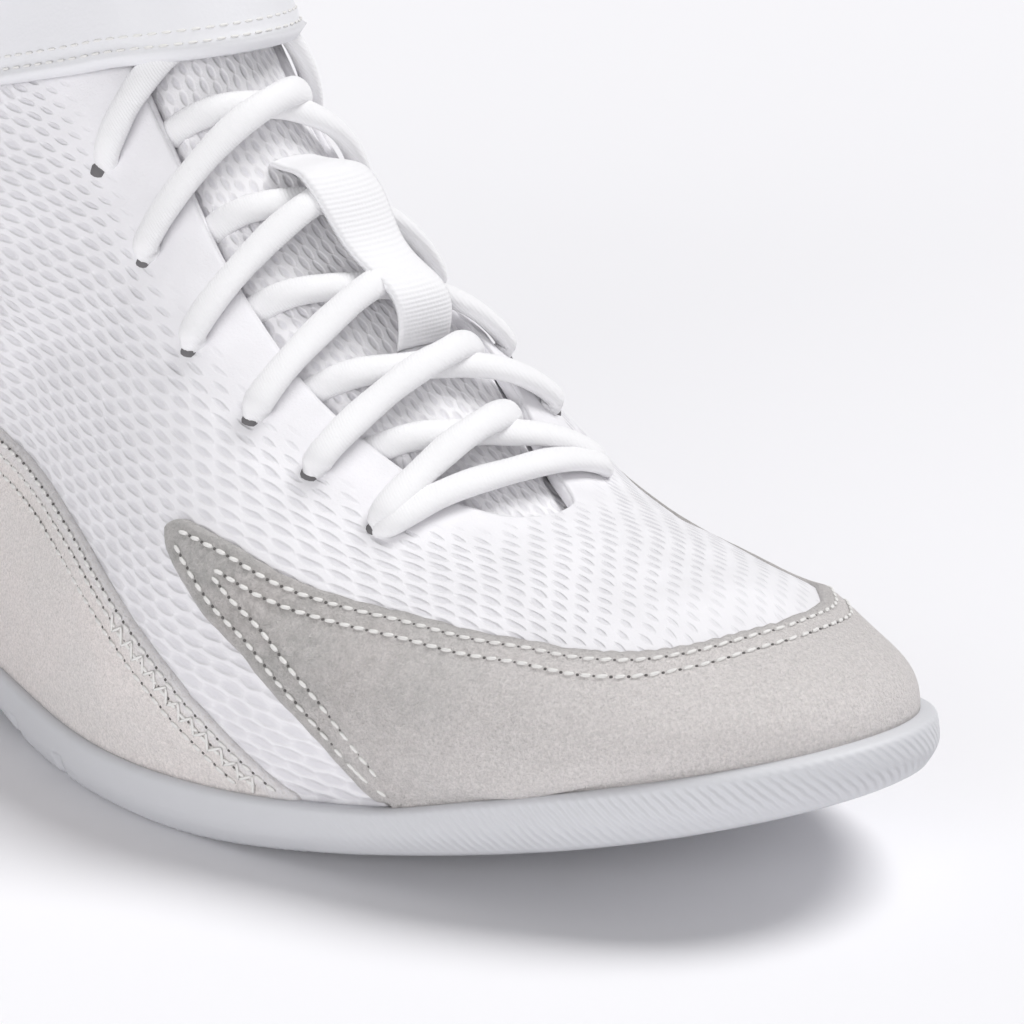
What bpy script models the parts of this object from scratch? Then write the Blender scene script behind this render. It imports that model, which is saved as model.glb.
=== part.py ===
# Right wrestling shoe: a mesh upper on a thin rubber sole, with suede overlays, a laced throat and an ankle strap
# Length runs along X with the toe at plus X, the outer side of the foot is at minus Y, and Z is up
import math

import bmesh
import bpy
import numpy as np

# Sizes in metres that drive the whole shoe
LENGTH = 0.272
BALL_WIDTH = 0.096
COLLAR_HEIGHT = 0.158
CENTRE_SHIFT_X = 0.00055
CENTRE_SHIFT_Y = 0.0004

# Thicknesses and clearances in metres
WALL = 0.0020
GAP = 0.0003
SKIRT = 0.0026
OVERLAY = 0.0012
OVERLAY_GAP = 0.0004
EYESTAY = 0.0008
TONGUE = 0.0032
STRAP = 0.0020
KEEPER = 0.0009
LACE_WIDTH = 0.0052
LACE_HEIGHT = 0.0032
EYELET_RADIUS = 0.0016
RIM = 0.0029
TOE_RIM = 0.0012
TOE_SPRING = 0.0205
ARCH_RISE = 0.0034
INSOLE = 0.0032
GROOVE_DEPTH = 0.0013
GROOVE_WIDTH = 0.0024

# Sections of the last, one row each, walking from the flat hood of the toe round the heel and up the shaft
# Columns: bottom x, bottom z, top x, top z, ridge y, outer foot y, inner foot y, outer belly y, inner belly y,
# height of the belly, fullness of the crown, roundness of the lower edge, how far round the crown starts
# The x columns are shares of the length, the z columns of the collar height, the y columns of the ball width
SECTIONS = np.array([
    [0.866, 0.122, 0.980, 0.177, 0.112, -0.268, 0.412, -0.268, 0.412, 0.02, 2.06, 0.00, 0.42],
    [0.855, 0.117, 0.977, 0.198, 0.108, -0.283, 0.418, -0.289, 0.422, 0.05, 2.03, 0.00, 0.34],
    [0.843, 0.111, 0.962, 0.222, 0.102, -0.297, 0.423, -0.308, 0.430, 0.10, 2.01, 0.00, 0.25],
    [0.830, 0.105, 0.925, 0.247, 0.095, -0.311, 0.428, -0.325, 0.436, 0.16, 2.00, 0.00, 0.16],
    [0.816, 0.098, 0.883, 0.271, 0.085, -0.326, 0.433, -0.342, 0.442, 0.22, 2.03, 0.00, 0.08],
    [0.798, 0.089, 0.836, 0.279, 0.075, -0.344, 0.437, -0.362, 0.450, 0.26, 2.04, 0.00, 0.02],
    [0.768, 0.078, 0.777, 0.293, 0.066, -0.374, 0.443, -0.394, 0.459, 0.28, 2.09, 0.00, 0.00],
    [0.710, 0.067, 0.718, 0.315, 0.058, -0.425, 0.450, -0.445, 0.469, 0.30, 2.12, 0.00, 0.00],
    [0.640, 0.060, 0.670, 0.380, 0.050, -0.460, 0.430, -0.478, 0.448, 0.28, 2.20, 0.00, 0.00],
    [0.560, 0.057, 0.622, 0.458, 0.035, -0.452, 0.375, -0.468, 0.395, 0.25, 2.20, 0.00, 0.00],
    [0.470, 0.060, 0.574, 0.538, 0.015, -0.390, 0.295, -0.410, 0.335, 0.24, 2.20, 0.00, 0.00],
    [0.370, 0.064, 0.534, 0.618, 0.005, -0.320, 0.255, -0.355, 0.315, 0.26, 2.15, 0.00, 0.00],
    [0.260, 0.062, 0.506, 0.684, 0.000, -0.300, 0.270, -0.345, 0.325, 0.28, 2.15, 0.00, 0.00],
    [0.160, 0.060, 0.487, 0.744, 0.000, -0.295, 0.280, -0.340, 0.330, 0.28, 2.10, 0.10, 0.00],
    [0.080, 0.060, 0.472, 0.802, 0.000, -0.250, 0.240, -0.320, 0.315, 0.28, 2.10, 0.35, 0.00],
    [0.030, 0.060, 0.460, 0.850, 0.000, -0.150, 0.145, -0.305, 0.305, 0.30, 2.10, 0.70, 0.00],
    [0.012, 0.062, 0.452, 0.885, 0.000, 0.000, 0.000, -0.300, 0.300, 0.33, 2.10, 1.00, 0.00],
    [0.006, 0.180, 0.446, 0.915, 0.000, 0.000, 0.000, -0.308, 0.308, 0.36, 2.10, 1.00, 0.00],
    [0.016, 0.330, 0.440, 0.940, 0.000, 0.000, 0.000, -0.325, 0.325, 0.42, 2.10, 1.00, 0.00],
    [0.040, 0.520, 0.434, 0.960, 0.000, 0.000, 0.000, -0.348, 0.348, 0.46, 2.10, 1.00, 0.00],
    [0.050, 0.720, 0.428, 0.980, 0.000, 0.000, 0.000, -0.362, 0.362, 0.48, 2.10, 1.00, 0.00],
    [0.046, 0.940, 0.422, 1.000, 0.000, 0.000, 0.000, -0.368, 0.368, 0.48, 2.10, 1.00, 0.00],
])
HEEL_ROW = 16
LAST_ROW = len(SECTIONS) - 1
LOWER_PART = 0.30
SIDES = 6

# Throat edge and outer edge of the eyestay, columns: section row, place round the section on the outer side
THROAT_EDGE = np.array([
    [6.38, 0.500], [6.42, 0.485], [6.52, 0.471], [6.80, 0.457], [7.25, 0.444], [7.85, 0.428], [8.60, 0.412],
    [9.50, 0.403], [10.40, 0.398], [11.60, 0.401], [13.00, 0.403], [16.00, 0.405], [19.00, 0.408], [21.00, 0.410],
])
EYESTAY_EDGE = np.array([
    [5.90, 0.500], [5.94, 0.475], [6.06, 0.445], [6.35, 0.415], [6.80, 0.385], [7.40, 0.360], [8.20, 0.346],
    [9.10, 0.328], [10.00, 0.314], [11.00, 0.310], [12.50, 0.316], [16.00, 0.322], [19.00, 0.326], [21.00, 0.328],
])

# Eyelets, columns: section row, place round the section on the outer side
EYELETS = np.array([
    [7.20, 0.394], [7.99, 0.384], [8.74, 0.371], [9.67, 0.352], [10.71, 0.350], [11.88, 0.355],
])
# Rows where a strand from the other side dips under the throat edge
EDGE_ENTRIES = np.array([7.86, 8.61, 9.53, 10.41, 11.55])

# Side outlines of the overlays, columns: x as a share of the length, z as a share of the collar height
TOE_CAP_OUTLINE = np.array([
    [0.6180, 0.2900], [0.6200, 0.2990], [0.6275, 0.3035], [0.6410, 0.3000], [0.6630, 0.2890], [0.6860, 0.2730],
    [0.7295, 0.2535], [0.7770, 0.2480], [0.8140, 0.2445], [0.8620, 0.2440], [0.8980, 0.2465], [0.9180, 0.2550],
    [1.0600, 0.2950], [1.0600, -0.0500], [0.8000, -0.0500], [0.7930, 0.0550], [0.7760, 0.0800], [0.7640, 0.1050],
    [0.7495, 0.1310], [0.7320, 0.1545], [0.7120, 0.1770], [0.6865, 0.2070], [0.6680, 0.2230], [0.6445, 0.2505],
    [0.6250, 0.2790],
])
COUNTER_OUTLINE = np.array([
    [0.7280, 0.0550], [0.7025, 0.0975], [0.6845, 0.1215], [0.6635, 0.1475], [0.6365, 0.1770], [0.6000, 0.2120],
    [0.5530, 0.2460], [0.4925, 0.2800], [0.4365, 0.3040], [0.3000, 0.3400], [0.1500, 0.3750], [0.0000, 0.4050],
    [-0.0600, 0.4150], [-0.0600, -0.0500], [0.7280, -0.0500],
])
STRAP_OUTLINE = np.array([
    [-0.080, 0.520], [0.100, 0.560], [0.250, 0.600], [0.384, 0.642], [0.472, 0.680], [0.580, 0.708], [0.580, 0.968],
    [0.472, 0.938], [0.384, 0.905], [0.250, 0.866], [0.100, 0.828], [-0.080, 0.790],
])

# Grooves across the tread, columns: x as a share of the length, reach and middle as shares of the ball width
GROOVES = np.array([
    [0.070, 0.34, 0.000], [0.115, 0.42, 0.000], [0.160, 0.46, -0.005], [0.205, 0.44, -0.010],
    [0.520, 0.58, -0.050], [0.565, 0.66, -0.040], [0.610, 0.72, -0.030], [0.655, 0.74, -0.020], [0.700, 0.72, 0.000],
    [0.745, 0.66, 0.020], [0.790, 0.58, 0.040], [0.835, 0.46, 0.060],
])
# Notches in the outer lower edge, columns: x share, edge y share, width and rise in metres
NOTCHES = np.array([
    [0.470, -0.440, 0.0022, 0.0030], [0.535, -0.480, 0.0022, 0.0030],
    [0.655, -0.500, 0.0012, 0.0014], [0.667, -0.500, 0.0012, 0.0014], [0.679, -0.495, 0.0012, 0.0014],
    [0.691, -0.490, 0.0012, 0.0014], [0.703, -0.480, 0.0012, 0.0014], [0.715, -0.470, 0.0012, 0.0014],
])

# Where the surface is sampled, shared by every layer so that the layers stay parallel
ROW_STEPS = np.array([
    0.0, 0.45, 1.0, 1.6, 2.3, 3.1, 4.0, 5.0, 5.9, 6.8, 7.7, 8.6, 9.5, 10.5, 11.5, 12.5, 13.5, 14.4, 15.1, 15.6, 16.0,
    16.5, 17.3, 18.3, 19.5, 21.0,
])
HALF_STEPS = np.array([0.0, 0.08, 0.14, 0.195, 0.24, 0.285, 0.338, 0.372, 0.44, 0.5])
ROUND_STEPS = np.concatenate([HALF_STEPS, 1.0 - HALF_STEPS[-2::-1]])


def natural_spline(knots, values, at):
    """Natural cubic through the rows of a table, solved from its tridiagonal system"""
    count = len(knots)
    gaps = np.diff(knots)
    system = np.zeros((count, count))
    right = np.zeros_like(values, dtype=float)
    system[0, 0] = 1.0
    system[-1, -1] = 1.0
    for i in range(1, count - 1):
        system[i, i - 1] = gaps[i - 1]
        system[i, i] = 2.0 * (gaps[i - 1] + gaps[i])
        system[i, i + 1] = gaps[i]
        right[i] = 6.0 * ((values[i + 1] - values[i]) / gaps[i] - (values[i] - values[i - 1]) / gaps[i - 1])
    bend = np.linalg.solve(system, right)
    at = np.asarray(at, dtype=float)
    i = np.clip(np.searchsorted(knots, at) - 1, 0, count - 2)
    before = at - knots[i]
    after = knots[i + 1] - at
    span = gaps[i]
    if values.ndim > 1:
        before = before[:, None]
        after = after[:, None]
        span = span[:, None]
    cubic = (bend[i] * after ** 3 + bend[i + 1] * before ** 3) / (6.0 * span)
    start = (values[i] / span - bend[i] * span / 6.0) * after
    return cubic + start + (values[i + 1] / span - bend[i + 1] * span / 6.0) * before


def section_values(row):
    """Table values between rows, with the sole edge and the back of the heel splined apart"""
    rows = np.arange(len(SECTIONS), dtype=float)
    values = natural_spline(rows, SECTIONS, row)
    front = natural_spline(rows[:HEEL_ROW + 1], SECTIONS[:HEEL_ROW + 1], np.minimum(row, HEEL_ROW))
    back = natural_spline(rows[HEEL_ROW:], SECTIONS[HEEL_ROW:], np.maximum(row, HEEL_ROW))
    behind = (row >= HEEL_ROW)[:, None]
    foot = [0, 1, 5, 6]
    values[:, foot] = np.where(behind, back[:, foot], front[:, foot])
    values[:, 5] = np.where(row >= HEEL_ROW, 0.0, np.minimum(values[:, 5], 0.0))
    values[:, 6] = np.where(row >= HEEL_ROW, 0.0, np.maximum(values[:, 6], 0.0))
    values[:, 11] = np.clip(values[:, 11], 0.0, 1.0)
    return values


def last_point(row, place):
    """Point on the outside of the last, place runs from the outer sole edge over the top to the inner one"""
    row, place = np.broadcast_arrays(np.asarray(row, dtype=float), np.asarray(place, dtype=float))
    shape = row.shape
    row = row.ravel()
    place = place.ravel()
    values = section_values(row).T
    low_x, low_z, top_x, top_z, ridge, foot_a, foot_b, belly_a, belly_b, level, crown, roundness, start = values
    outer = place < 0.5
    up = np.where(outer, place, 1.0 - place) * 2.0
    foot = np.where(outer, foot_a, foot_b)
    belly = np.where(outer, belly_a, belly_b)
    lower_part = LOWER_PART * np.clip(level / 0.26, 0.22, 1.0)
    turn = np.clip(up / lower_part, 0.0, 1.0) * math.pi / 2.0
    lower_y = foot + (belly - foot) * np.sin(turn)
    lower_h = level * ((1.0 - roundness) * turn * 2.0 / math.pi + roundness * (1.0 - np.cos(turn)))
    begin = np.where(outer, 1.0, 0.45) * np.clip(start, 0.0, 1.0) * math.pi / 2.0
    rise = begin + (math.pi / 2.0 - begin) * np.clip((up - lower_part) / (1.0 - lower_part), 0.0, 1.0)
    power = 2.0 / crown
    upper_y = ridge + (belly - ridge) * (np.abs(np.cos(rise)) / np.cos(begin)) ** power
    first = np.sin(begin) ** power
    upper_h = level + (1.0 - level) * (np.sin(rise) ** power - first) / (1.0 - first)
    is_low = up < lower_part
    y = np.where(is_low, lower_y, upper_y)
    height = np.where(is_low, lower_h, upper_h)
    x = (low_x + (top_x - low_x) * height - 0.5) * LENGTH + CENTRE_SHIFT_X
    z = (low_z + (top_z - low_z) * height) * COLLAR_HEIGHT
    return np.stack([x, y * BALL_WIDTH + CENTRE_SHIFT_Y, z], axis=-1).reshape(shape + (3,))


def last_normal(row, place):
    """Outward direction of the last, level along the sole edge and straight back along the heel seam"""
    row, place = np.broadcast_arrays(np.asarray(row, dtype=float), np.asarray(place, dtype=float))
    low_row = np.clip(row - 0.04, 0.0, LAST_ROW)
    high_row = np.clip(row + 0.04, 0.0, LAST_ROW)
    before = (row < HEEL_ROW) & (high_row > HEEL_ROW)
    high_row = np.where(before, HEEL_ROW, high_row)
    low_place = np.clip(place - 0.008, 0.0, 1.0)
    high_place = np.clip(place + 0.008, 0.0, 1.0)
    along = last_point(high_row, place) - last_point(low_row, place)
    across = last_point(row, high_place) - last_point(row, low_place)
    normal = np.cross(across, along)
    edge = np.minimum(place, 1.0 - place)
    keep = np.where(row < HEEL_ROW, np.clip(np.minimum(edge / 0.08, row), 0.0, 1.0), 1.0)
    normal[..., 2] *= keep
    on_seam = (edge < 1e-6) & (row >= HEEL_ROW - 1e-6)
    normal[..., 1] = np.where(on_seam, 0.0, normal[..., 1])
    normal[..., 0] = np.where((edge < 1e-6) & (np.abs(row - HEEL_ROW) < 1e-6), -1.0, normal[..., 0])
    normal[..., 2] = np.where((edge < 1e-6) & (np.abs(row - HEEL_ROW) < 1e-6), 0.0, normal[..., 2])
    size = np.linalg.norm(normal, axis=-1, keepdims=True)
    return normal / np.maximum(size, 1e-12)


def lifted(row, place, lift, drop=0.0):
    """Point held off the last by lift along its normal and moved down by drop"""
    row, place = np.broadcast_arrays(np.asarray(row, dtype=float), np.asarray(place, dtype=float))
    point = last_point(row, place) + last_normal(row, place) * np.asarray(lift)[..., None]
    point[..., 2] -= drop
    on_seam = (np.minimum(place, 1.0 - place) < 1e-6) & (row >= HEEL_ROW - 1e-6)
    point[..., 1] = np.where(on_seam, CENTRE_SHIFT_Y, point[..., 1])
    return point


def new_collection(name):
    """Collection linked under the scene"""
    collection = bpy.data.collections.new(name)
    bpy.context.scene.collection.children.link(collection)
    return collection


def new_material(name, colour, roughness):
    """Principled material with a flat colour"""
    material = bpy.data.materials.new(name)
    material.use_nodes = True
    shader = material.node_tree.nodes["Principled BSDF"]
    shader.inputs["Base Color"].default_value = (colour[0], colour[1], colour[2], 1.0)
    shader.inputs["Roughness"].default_value = roughness
    material.diffuse_color = (colour[0], colour[1], colour[2], 1.0)
    return material


def new_object(name, points, faces, collection, material=None):
    """Closed object from points and faces, with matching points joined and paired faces dropped"""
    mesh = bpy.data.meshes.new(name)
    mesh.from_pydata([tuple(point) for point in np.asarray(points).reshape(-1, 3)], [], faces)
    work = bmesh.new()
    work.from_mesh(mesh)
    targets = bmesh.ops.find_doubles(work, verts=work.verts, dist=0.00001)["targetmap"]
    groups = {}
    for face in work.faces:
        key = frozenset(targets.get(vertex, vertex).index for vertex in face.verts)
        groups.setdefault(key, []).append(face)
    dropped = [face for key, group in groups.items() if len(group) > 1 or len(key) < 3 for face in group]
    bmesh.ops.delete(work, geom=dropped, context="FACES_ONLY")
    bmesh.ops.weld_verts(work, targetmap=targets)
    loose_edges = [edge for edge in work.edges if not edge.link_faces]
    bmesh.ops.delete(work, geom=loose_edges, context="EDGES")
    loose = [vertex for vertex in work.verts if not vertex.link_faces]
    bmesh.ops.delete(work, geom=loose, context="VERTS")
    bmesh.ops.recalc_face_normals(work, faces=work.faces)
    if work.calc_volume(signed=True) < 0.0:
        bmesh.ops.reverse_faces(work, faces=work.faces)
    bmesh.ops.triangulate(work, faces=work.faces, quad_method="FIXED", ngon_method="BEAUTY")
    work.to_mesh(mesh)
    work.free()
    item = bpy.data.objects.new(name, mesh)
    collection.objects.link(item)
    if material is not None:
        mesh.materials.append(material)
    return item


def slab(outside, inside):
    """Points and faces of a closed slab between two matching grids"""
    rows, columns = outside.shape[:2]
    points = np.concatenate([outside.reshape(-1, 3), inside.reshape(-1, 3)])
    shift = rows * columns
    faces = []
    for i in range(rows - 1):
        for j in range(columns - 1):
            a = i * columns + j
            b = a + 1
            c = a + columns + 1
            d = a + columns
            faces.append((a, b, c, d))
            faces.append((shift + a, shift + d, shift + c, shift + b))
    for i in range(rows - 1):
        for j in (0, columns - 1):
            a = i * columns + j
            d = a + columns
            faces.append((a, d, shift + d, shift + a))
    for j in range(columns - 1):
        for i in (0, rows - 1):
            a = i * columns + j
            b = a + 1
            faces.append((a, b, shift + b, shift + a))
    return points, faces


def add_boolean(target, cutter, operation):
    """Exact boolean of the target with a hidden cutter"""
    step = target.modifiers.new(cutter.name, "BOOLEAN")
    step.operation = operation
    step.solver = "EXACT"
    step.object = cutter
    return step


def hide_cutter(item):
    """Cutters are kept out of renders and drawn as wires"""
    item.hide_render = True
    item.display_type = "WIRE"
    return item


def side_prism(name, outline, collection):
    """Prism across the shoe from a side outline given in shares"""
    x = (outline[:, 0] - 0.5) * LENGTH + CENTRE_SHIFT_X
    z = outline[:, 1] * COLLAR_HEIGHT
    count = len(outline)
    reach = BALL_WIDTH
    points = [(x[i], -reach, z[i]) for i in range(count)] + [(x[i], reach, z[i]) for i in range(count)]
    faces = [tuple(range(count)), tuple(range(2 * count - 1, count - 1, -1))]
    for i in range(count):
        j = (i + 1) % count
        faces.append((i, i + count, j + count, j))
    return hide_cutter(new_object(name, points, faces, collection))


def throat_plug(name, table, collection):
    """Plug through the wall inside an edge curve, open beyond the collar"""
    first = table[0, 0]
    ends = np.array([0.0, 0.02, 0.06, 0.14, 0.28, 0.5, 0.85])
    rows = np.concatenate([first + ends, np.arange(math.ceil(first + 1.0), LAST_ROW + 0.5, 1.0)])
    across = np.array([0.0, 0.12, 0.25, 0.38, 0.5, 0.62, 0.75, 0.88, 1.0])
    outer = np.interp(rows, table[:, 0], table[:, 1])
    grid_row = rows[:, None] + 0.0 * across
    grid_place = outer[:, None] + (1.0 - 2.0 * outer[:, None]) * across
    outside = lifted(grid_row, grid_place, np.full(grid_row.shape, 0.0060))
    inside = lifted(grid_row, grid_place, np.full(grid_row.shape, -0.0060))
    for layer in (outside, inside):
        extra = layer[-1:].copy()
        extra[..., 2] += 0.012
        extra[..., 0] -= 0.001
        if layer is outside:
            outside = np.concatenate([layer, extra])
        else:
            inside = np.concatenate([layer, extra])
    points, faces = slab(outside, inside)
    return hide_cutter(new_object(name, points, faces, collection))


def body_layer(lift_out, lift_in):
    """Slab over the whole last between two lifts"""
    grid_row, grid_place = np.meshgrid(ROW_STEPS[ROW_STEPS < 19.0], ROUND_STEPS, indexing="ij")
    outside = lifted(grid_row, grid_place, np.full(grid_row.shape, lift_out))
    return slab(outside, lifted(grid_row, grid_place, np.full(grid_row.shape, lift_in)))


def skirt_layer(lift_out, lift_in):
    """Slab over the whole last that carries on down into the sole"""
    grid_row, grid_place = np.meshgrid(ROW_STEPS, ROUND_STEPS, indexing="ij")
    grid_row = np.concatenate([grid_row[:, :1], grid_row, grid_row[:, -1:]], axis=1)
    grid_place = np.concatenate([grid_place[:, :1], grid_place, grid_place[:, -1:]], axis=1)
    drop = np.zeros_like(grid_row)
    before_heel = ROW_STEPS <= HEEL_ROW + 1e-6
    drop[before_heel, 0] = SKIRT
    drop[before_heel, -1] = SKIRT
    grid_row = np.concatenate([grid_row[:1], grid_row])
    grid_place = np.concatenate([grid_place[:1], grid_place])
    drop = np.concatenate([np.full((1, drop.shape[1]), SKIRT), drop])
    outside = lifted(grid_row, grid_place, np.full(grid_row.shape, lift_out), drop)
    inside = lifted(grid_row, grid_place, np.full(grid_row.shape, lift_in), drop)
    return slab(outside, inside)


def sole_edge():
    """Feet of the last in step on both sides from the heel to the toe, and level outward directions"""
    rows = ROW_STEPS[ROW_STEPS <= HEEL_ROW][::-1]
    toe = HALF_STEPS[1:]
    places = np.concatenate([np.zeros(len(rows)), toe])
    rows = np.concatenate([rows, np.zeros(len(toe))])
    outer = last_point(rows, places)
    inner = last_point(rows, 1.0 - places)
    inner[0] = outer[0]
    inner[-1] = outer[-1]
    loop = np.concatenate([outer, inner[-2:0:-1]])
    ahead = np.roll(loop, -1, axis=0) - loop
    behind = loop - np.roll(loop, 1, axis=0)
    ahead /= np.linalg.norm(ahead[:, :2], axis=1, keepdims=True)
    behind /= np.linalg.norm(behind[:, :2], axis=1, keepdims=True)
    along = ahead + behind
    outward = np.stack([along[:, 1], -along[:, 0], np.zeros(len(loop))], axis=-1)
    outward /= np.linalg.norm(outward, axis=1, keepdims=True)
    if np.sum(outward[:, 1] * (loop[:, 1] - CENTRE_SHIFT_Y)) < 0.0:
        outward = -outward
    return loop, outward, len(outer)


def ground_height(x):
    """Height of the tread: flat heel and ball, a low arch between them and a sprung toe"""
    share = (x - CENTRE_SHIFT_X) / LENGTH + 0.5
    arch = np.clip((share - 0.25) / 0.25, 0.0, 1.0)
    toe = np.clip((share - 0.64) / 0.37, 0.0, 1.0)
    return ARCH_RISE * np.sin(math.pi * arch) ** 2 + TOE_SPRING * toe ** 1.55


def ring(loop, outward, half, offset, share):
    """Ring of points set off from the sole edge and drawn towards the middle line"""
    points = loop + outward * np.broadcast_to(offset, len(loop))[:, None]
    count = len(points)
    mate = (-np.arange(count)) % count
    middle = 0.5 * (points + points[mate])
    return middle + (points - middle) * share


def ringed_solid(rings):
    """Points and faces of a solid skinned through closed rings whose first and last lie on the middle line"""
    count = len(rings[0])
    points = np.concatenate(rings)
    faces = []
    for level in range(len(rings) - 1):
        for i in range(count):
            j = (i + 1) % count
            a = level * count
            b = a + count
            faces.append((a + i, a + j, b + j, b + i))
    return points, faces


def box(x, y, width, reach, low, high):
    """Points and faces of a box centred on x and y"""
    points = []
    for z in (low, high):
        for dx, dy in ((-1, -1), (1, -1), (1, 1), (-1, 1)):
            points.append((x + dx * width * 0.5, y + dy * reach * 0.5, z))
    faces = [(3, 2, 1, 0), (4, 5, 6, 7), (0, 1, 5, 4), (1, 2, 6, 5), (2, 3, 7, 6), (3, 0, 4, 7)]
    return np.array(points), faces


def make_sole(collection, cutters, material):
    """Rubber sole with a raised rim that holds the upper"""
    loop, outward, half = sole_edge()
    edge_z = loop[:, 2]
    share = (loop[:, 0] - CENTRE_SHIFT_X) / LENGTH + 0.5
    rim = RIM + TOE_RIM * np.clip((share - 0.88) / 0.09, 0.0, 1.0)

    def level(offset, share, height):
        points = ring(loop, outward, half, offset, share)
        points[:, 2] = height(points)
        return points

    def ground(points):
        return ground_height(points[:, 0])

    def between(part, extra=0.0):
        return lambda points: ground(points) * (1.0 - part) + edge_z * part + extra

    def floor(points):
        mate = (-np.arange(len(points))) % len(points)
        return 0.5 * (edge_z + edge_z[mate]) - SKIRT - GAP

    rings = [
        level(0.0008, 0.0, ground),
        level(0.0008, 0.55, ground),
        level(0.0008, 1.0, ground),
        level(rim - 0.0006, 1.0, between(0.22)),
        level(rim, 1.0, between(0.58)),
        level(rim - 0.0005, 1.0, between(0.96, -0.0005)),
        level(GAP, 1.0, between(1.0, -0.0005)),
        level(GAP, 1.0, floor),
        level(GAP, 0.55, floor),
        level(GAP, 0.0, floor),
    ]
    points, faces = ringed_solid(rings)
    sole = new_object("outsole", points, faces, collection, material)
    boxes = []
    for share, reach, shift in GROOVES:
        x = (share - 0.5) * LENGTH + CENTRE_SHIFT_X
        y = shift * BALL_WIDTH + CENTRE_SHIFT_Y
        top = float(ground_height(np.array([x]))[0]) + GROOVE_DEPTH
        boxes.append(box(x, y, GROOVE_WIDTH, reach * BALL_WIDTH, -0.004, top))
    for share, edge, width, rise in NOTCHES:
        x = (share - 0.5) * LENGTH + CENTRE_SHIFT_X
        y = edge * BALL_WIDTH + CENTRE_SHIFT_Y
        top = float(ground_height(np.array([x]))[0]) + rise
        boxes.append(box(x, y, width, 0.010, -0.004, top))
    points, faces = joined(boxes)
    tread = hide_cutter(new_object("tread_cutter", points, faces, cutters))
    add_boolean(sole, tread, "DIFFERENCE")
    return sole


def make_insole(collection, material):
    """Soft insole lying in the sole inside the upper"""
    loop, outward, half = sole_edge()
    mate = (-np.arange(len(loop))) % len(loop)
    base = 0.5 * (loop[:, 2] + loop[mate, 2]) - SKIRT
    inset = -(WALL + 0.0009)

    def level(share, height, dish=0.0):
        points = ring(loop, outward, half, inset, share)
        half_width = np.linalg.norm(loop[:, :2] - loop[mate, :2], axis=1) * 0.5
        points[:, 2] = base + height - dish * np.clip(half_width / 0.025, 0.0, 1.0)
        return points

    rings = [
        level(0.0, 0.0),
        level(1.0, 0.0),
        level(1.0, INSOLE),
        level(0.7, INSOLE, 0.0006),
        level(0.0, INSOLE, 0.0010),
    ]
    points, faces = ringed_solid(rings)
    return new_object("insole", points, faces, collection, material)


def tube(path_row, path_place, path_lift):
    """Closed oval tube along a path over the last"""
    centre = lifted(path_row, path_place, path_lift)
    normal = last_normal(path_row, path_place)
    along = np.gradient(centre, axis=0)
    along /= np.linalg.norm(along, axis=1, keepdims=True)
    side = np.cross(along, normal)
    side /= np.linalg.norm(side, axis=1, keepdims=True)
    up = np.cross(side, along)
    angles = np.arange(SIDES) * 2.0 * math.pi / SIDES
    size = np.ones(len(centre))
    size[0] = 0.80
    size[-1] = 0.80
    rings = []
    for i in range(len(centre)):
        across = side[i][None, :] * np.cos(angles)[:, None] * LACE_WIDTH * 0.5 * size[i]
        lift = up[i][None, :] * np.sin(angles)[:, None] * LACE_HEIGHT * 0.5 * size[i]
        rings.append(centre[i] + across + lift)
    points = np.concatenate(rings)
    faces = [tuple(range(SIDES - 1, -1, -1))]
    last = SIDES * (len(centre) - 1)
    faces.append(tuple(range(last, last + SIDES)))
    for level in range(len(centre) - 1):
        for i in range(SIDES):
            j = (i + 1) % SIDES
            a = level * SIDES
            faces.append((a + i, a + j, a + SIDES + j, a + SIDES + i))
    return points, faces


def joined(pieces):
    """One point and face list from several"""
    points = []
    faces = []
    shift = 0
    for piece_points, piece_faces in pieces:
        points.append(np.asarray(piece_points))
        faces.extend(tuple(index + shift for index in face) for face in piece_faces)
        shift += len(piece_points)
    return np.concatenate(points), faces


def strand(start_row, start_place, end_row, end_place, start_lift, middle_lift, end_lift):
    """Lace strand from an eyelet over the throat"""
    part = np.array([0.0, 0.22, 0.46, 0.62, 0.80, 1.0])
    row = start_row + (end_row - start_row) * part
    place = start_place + (end_place - start_place) * part
    knots = np.array([0.0, 0.46, 0.62, 1.0])
    lift = np.interp(part, knots, np.array([start_lift, start_lift, middle_lift, end_lift]))
    return tube(row, place, lift)


def clear_scene():
    """Start from an empty scene"""
    for item in list(bpy.data.objects):
        bpy.data.objects.remove(item, do_unlink=True)


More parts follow.
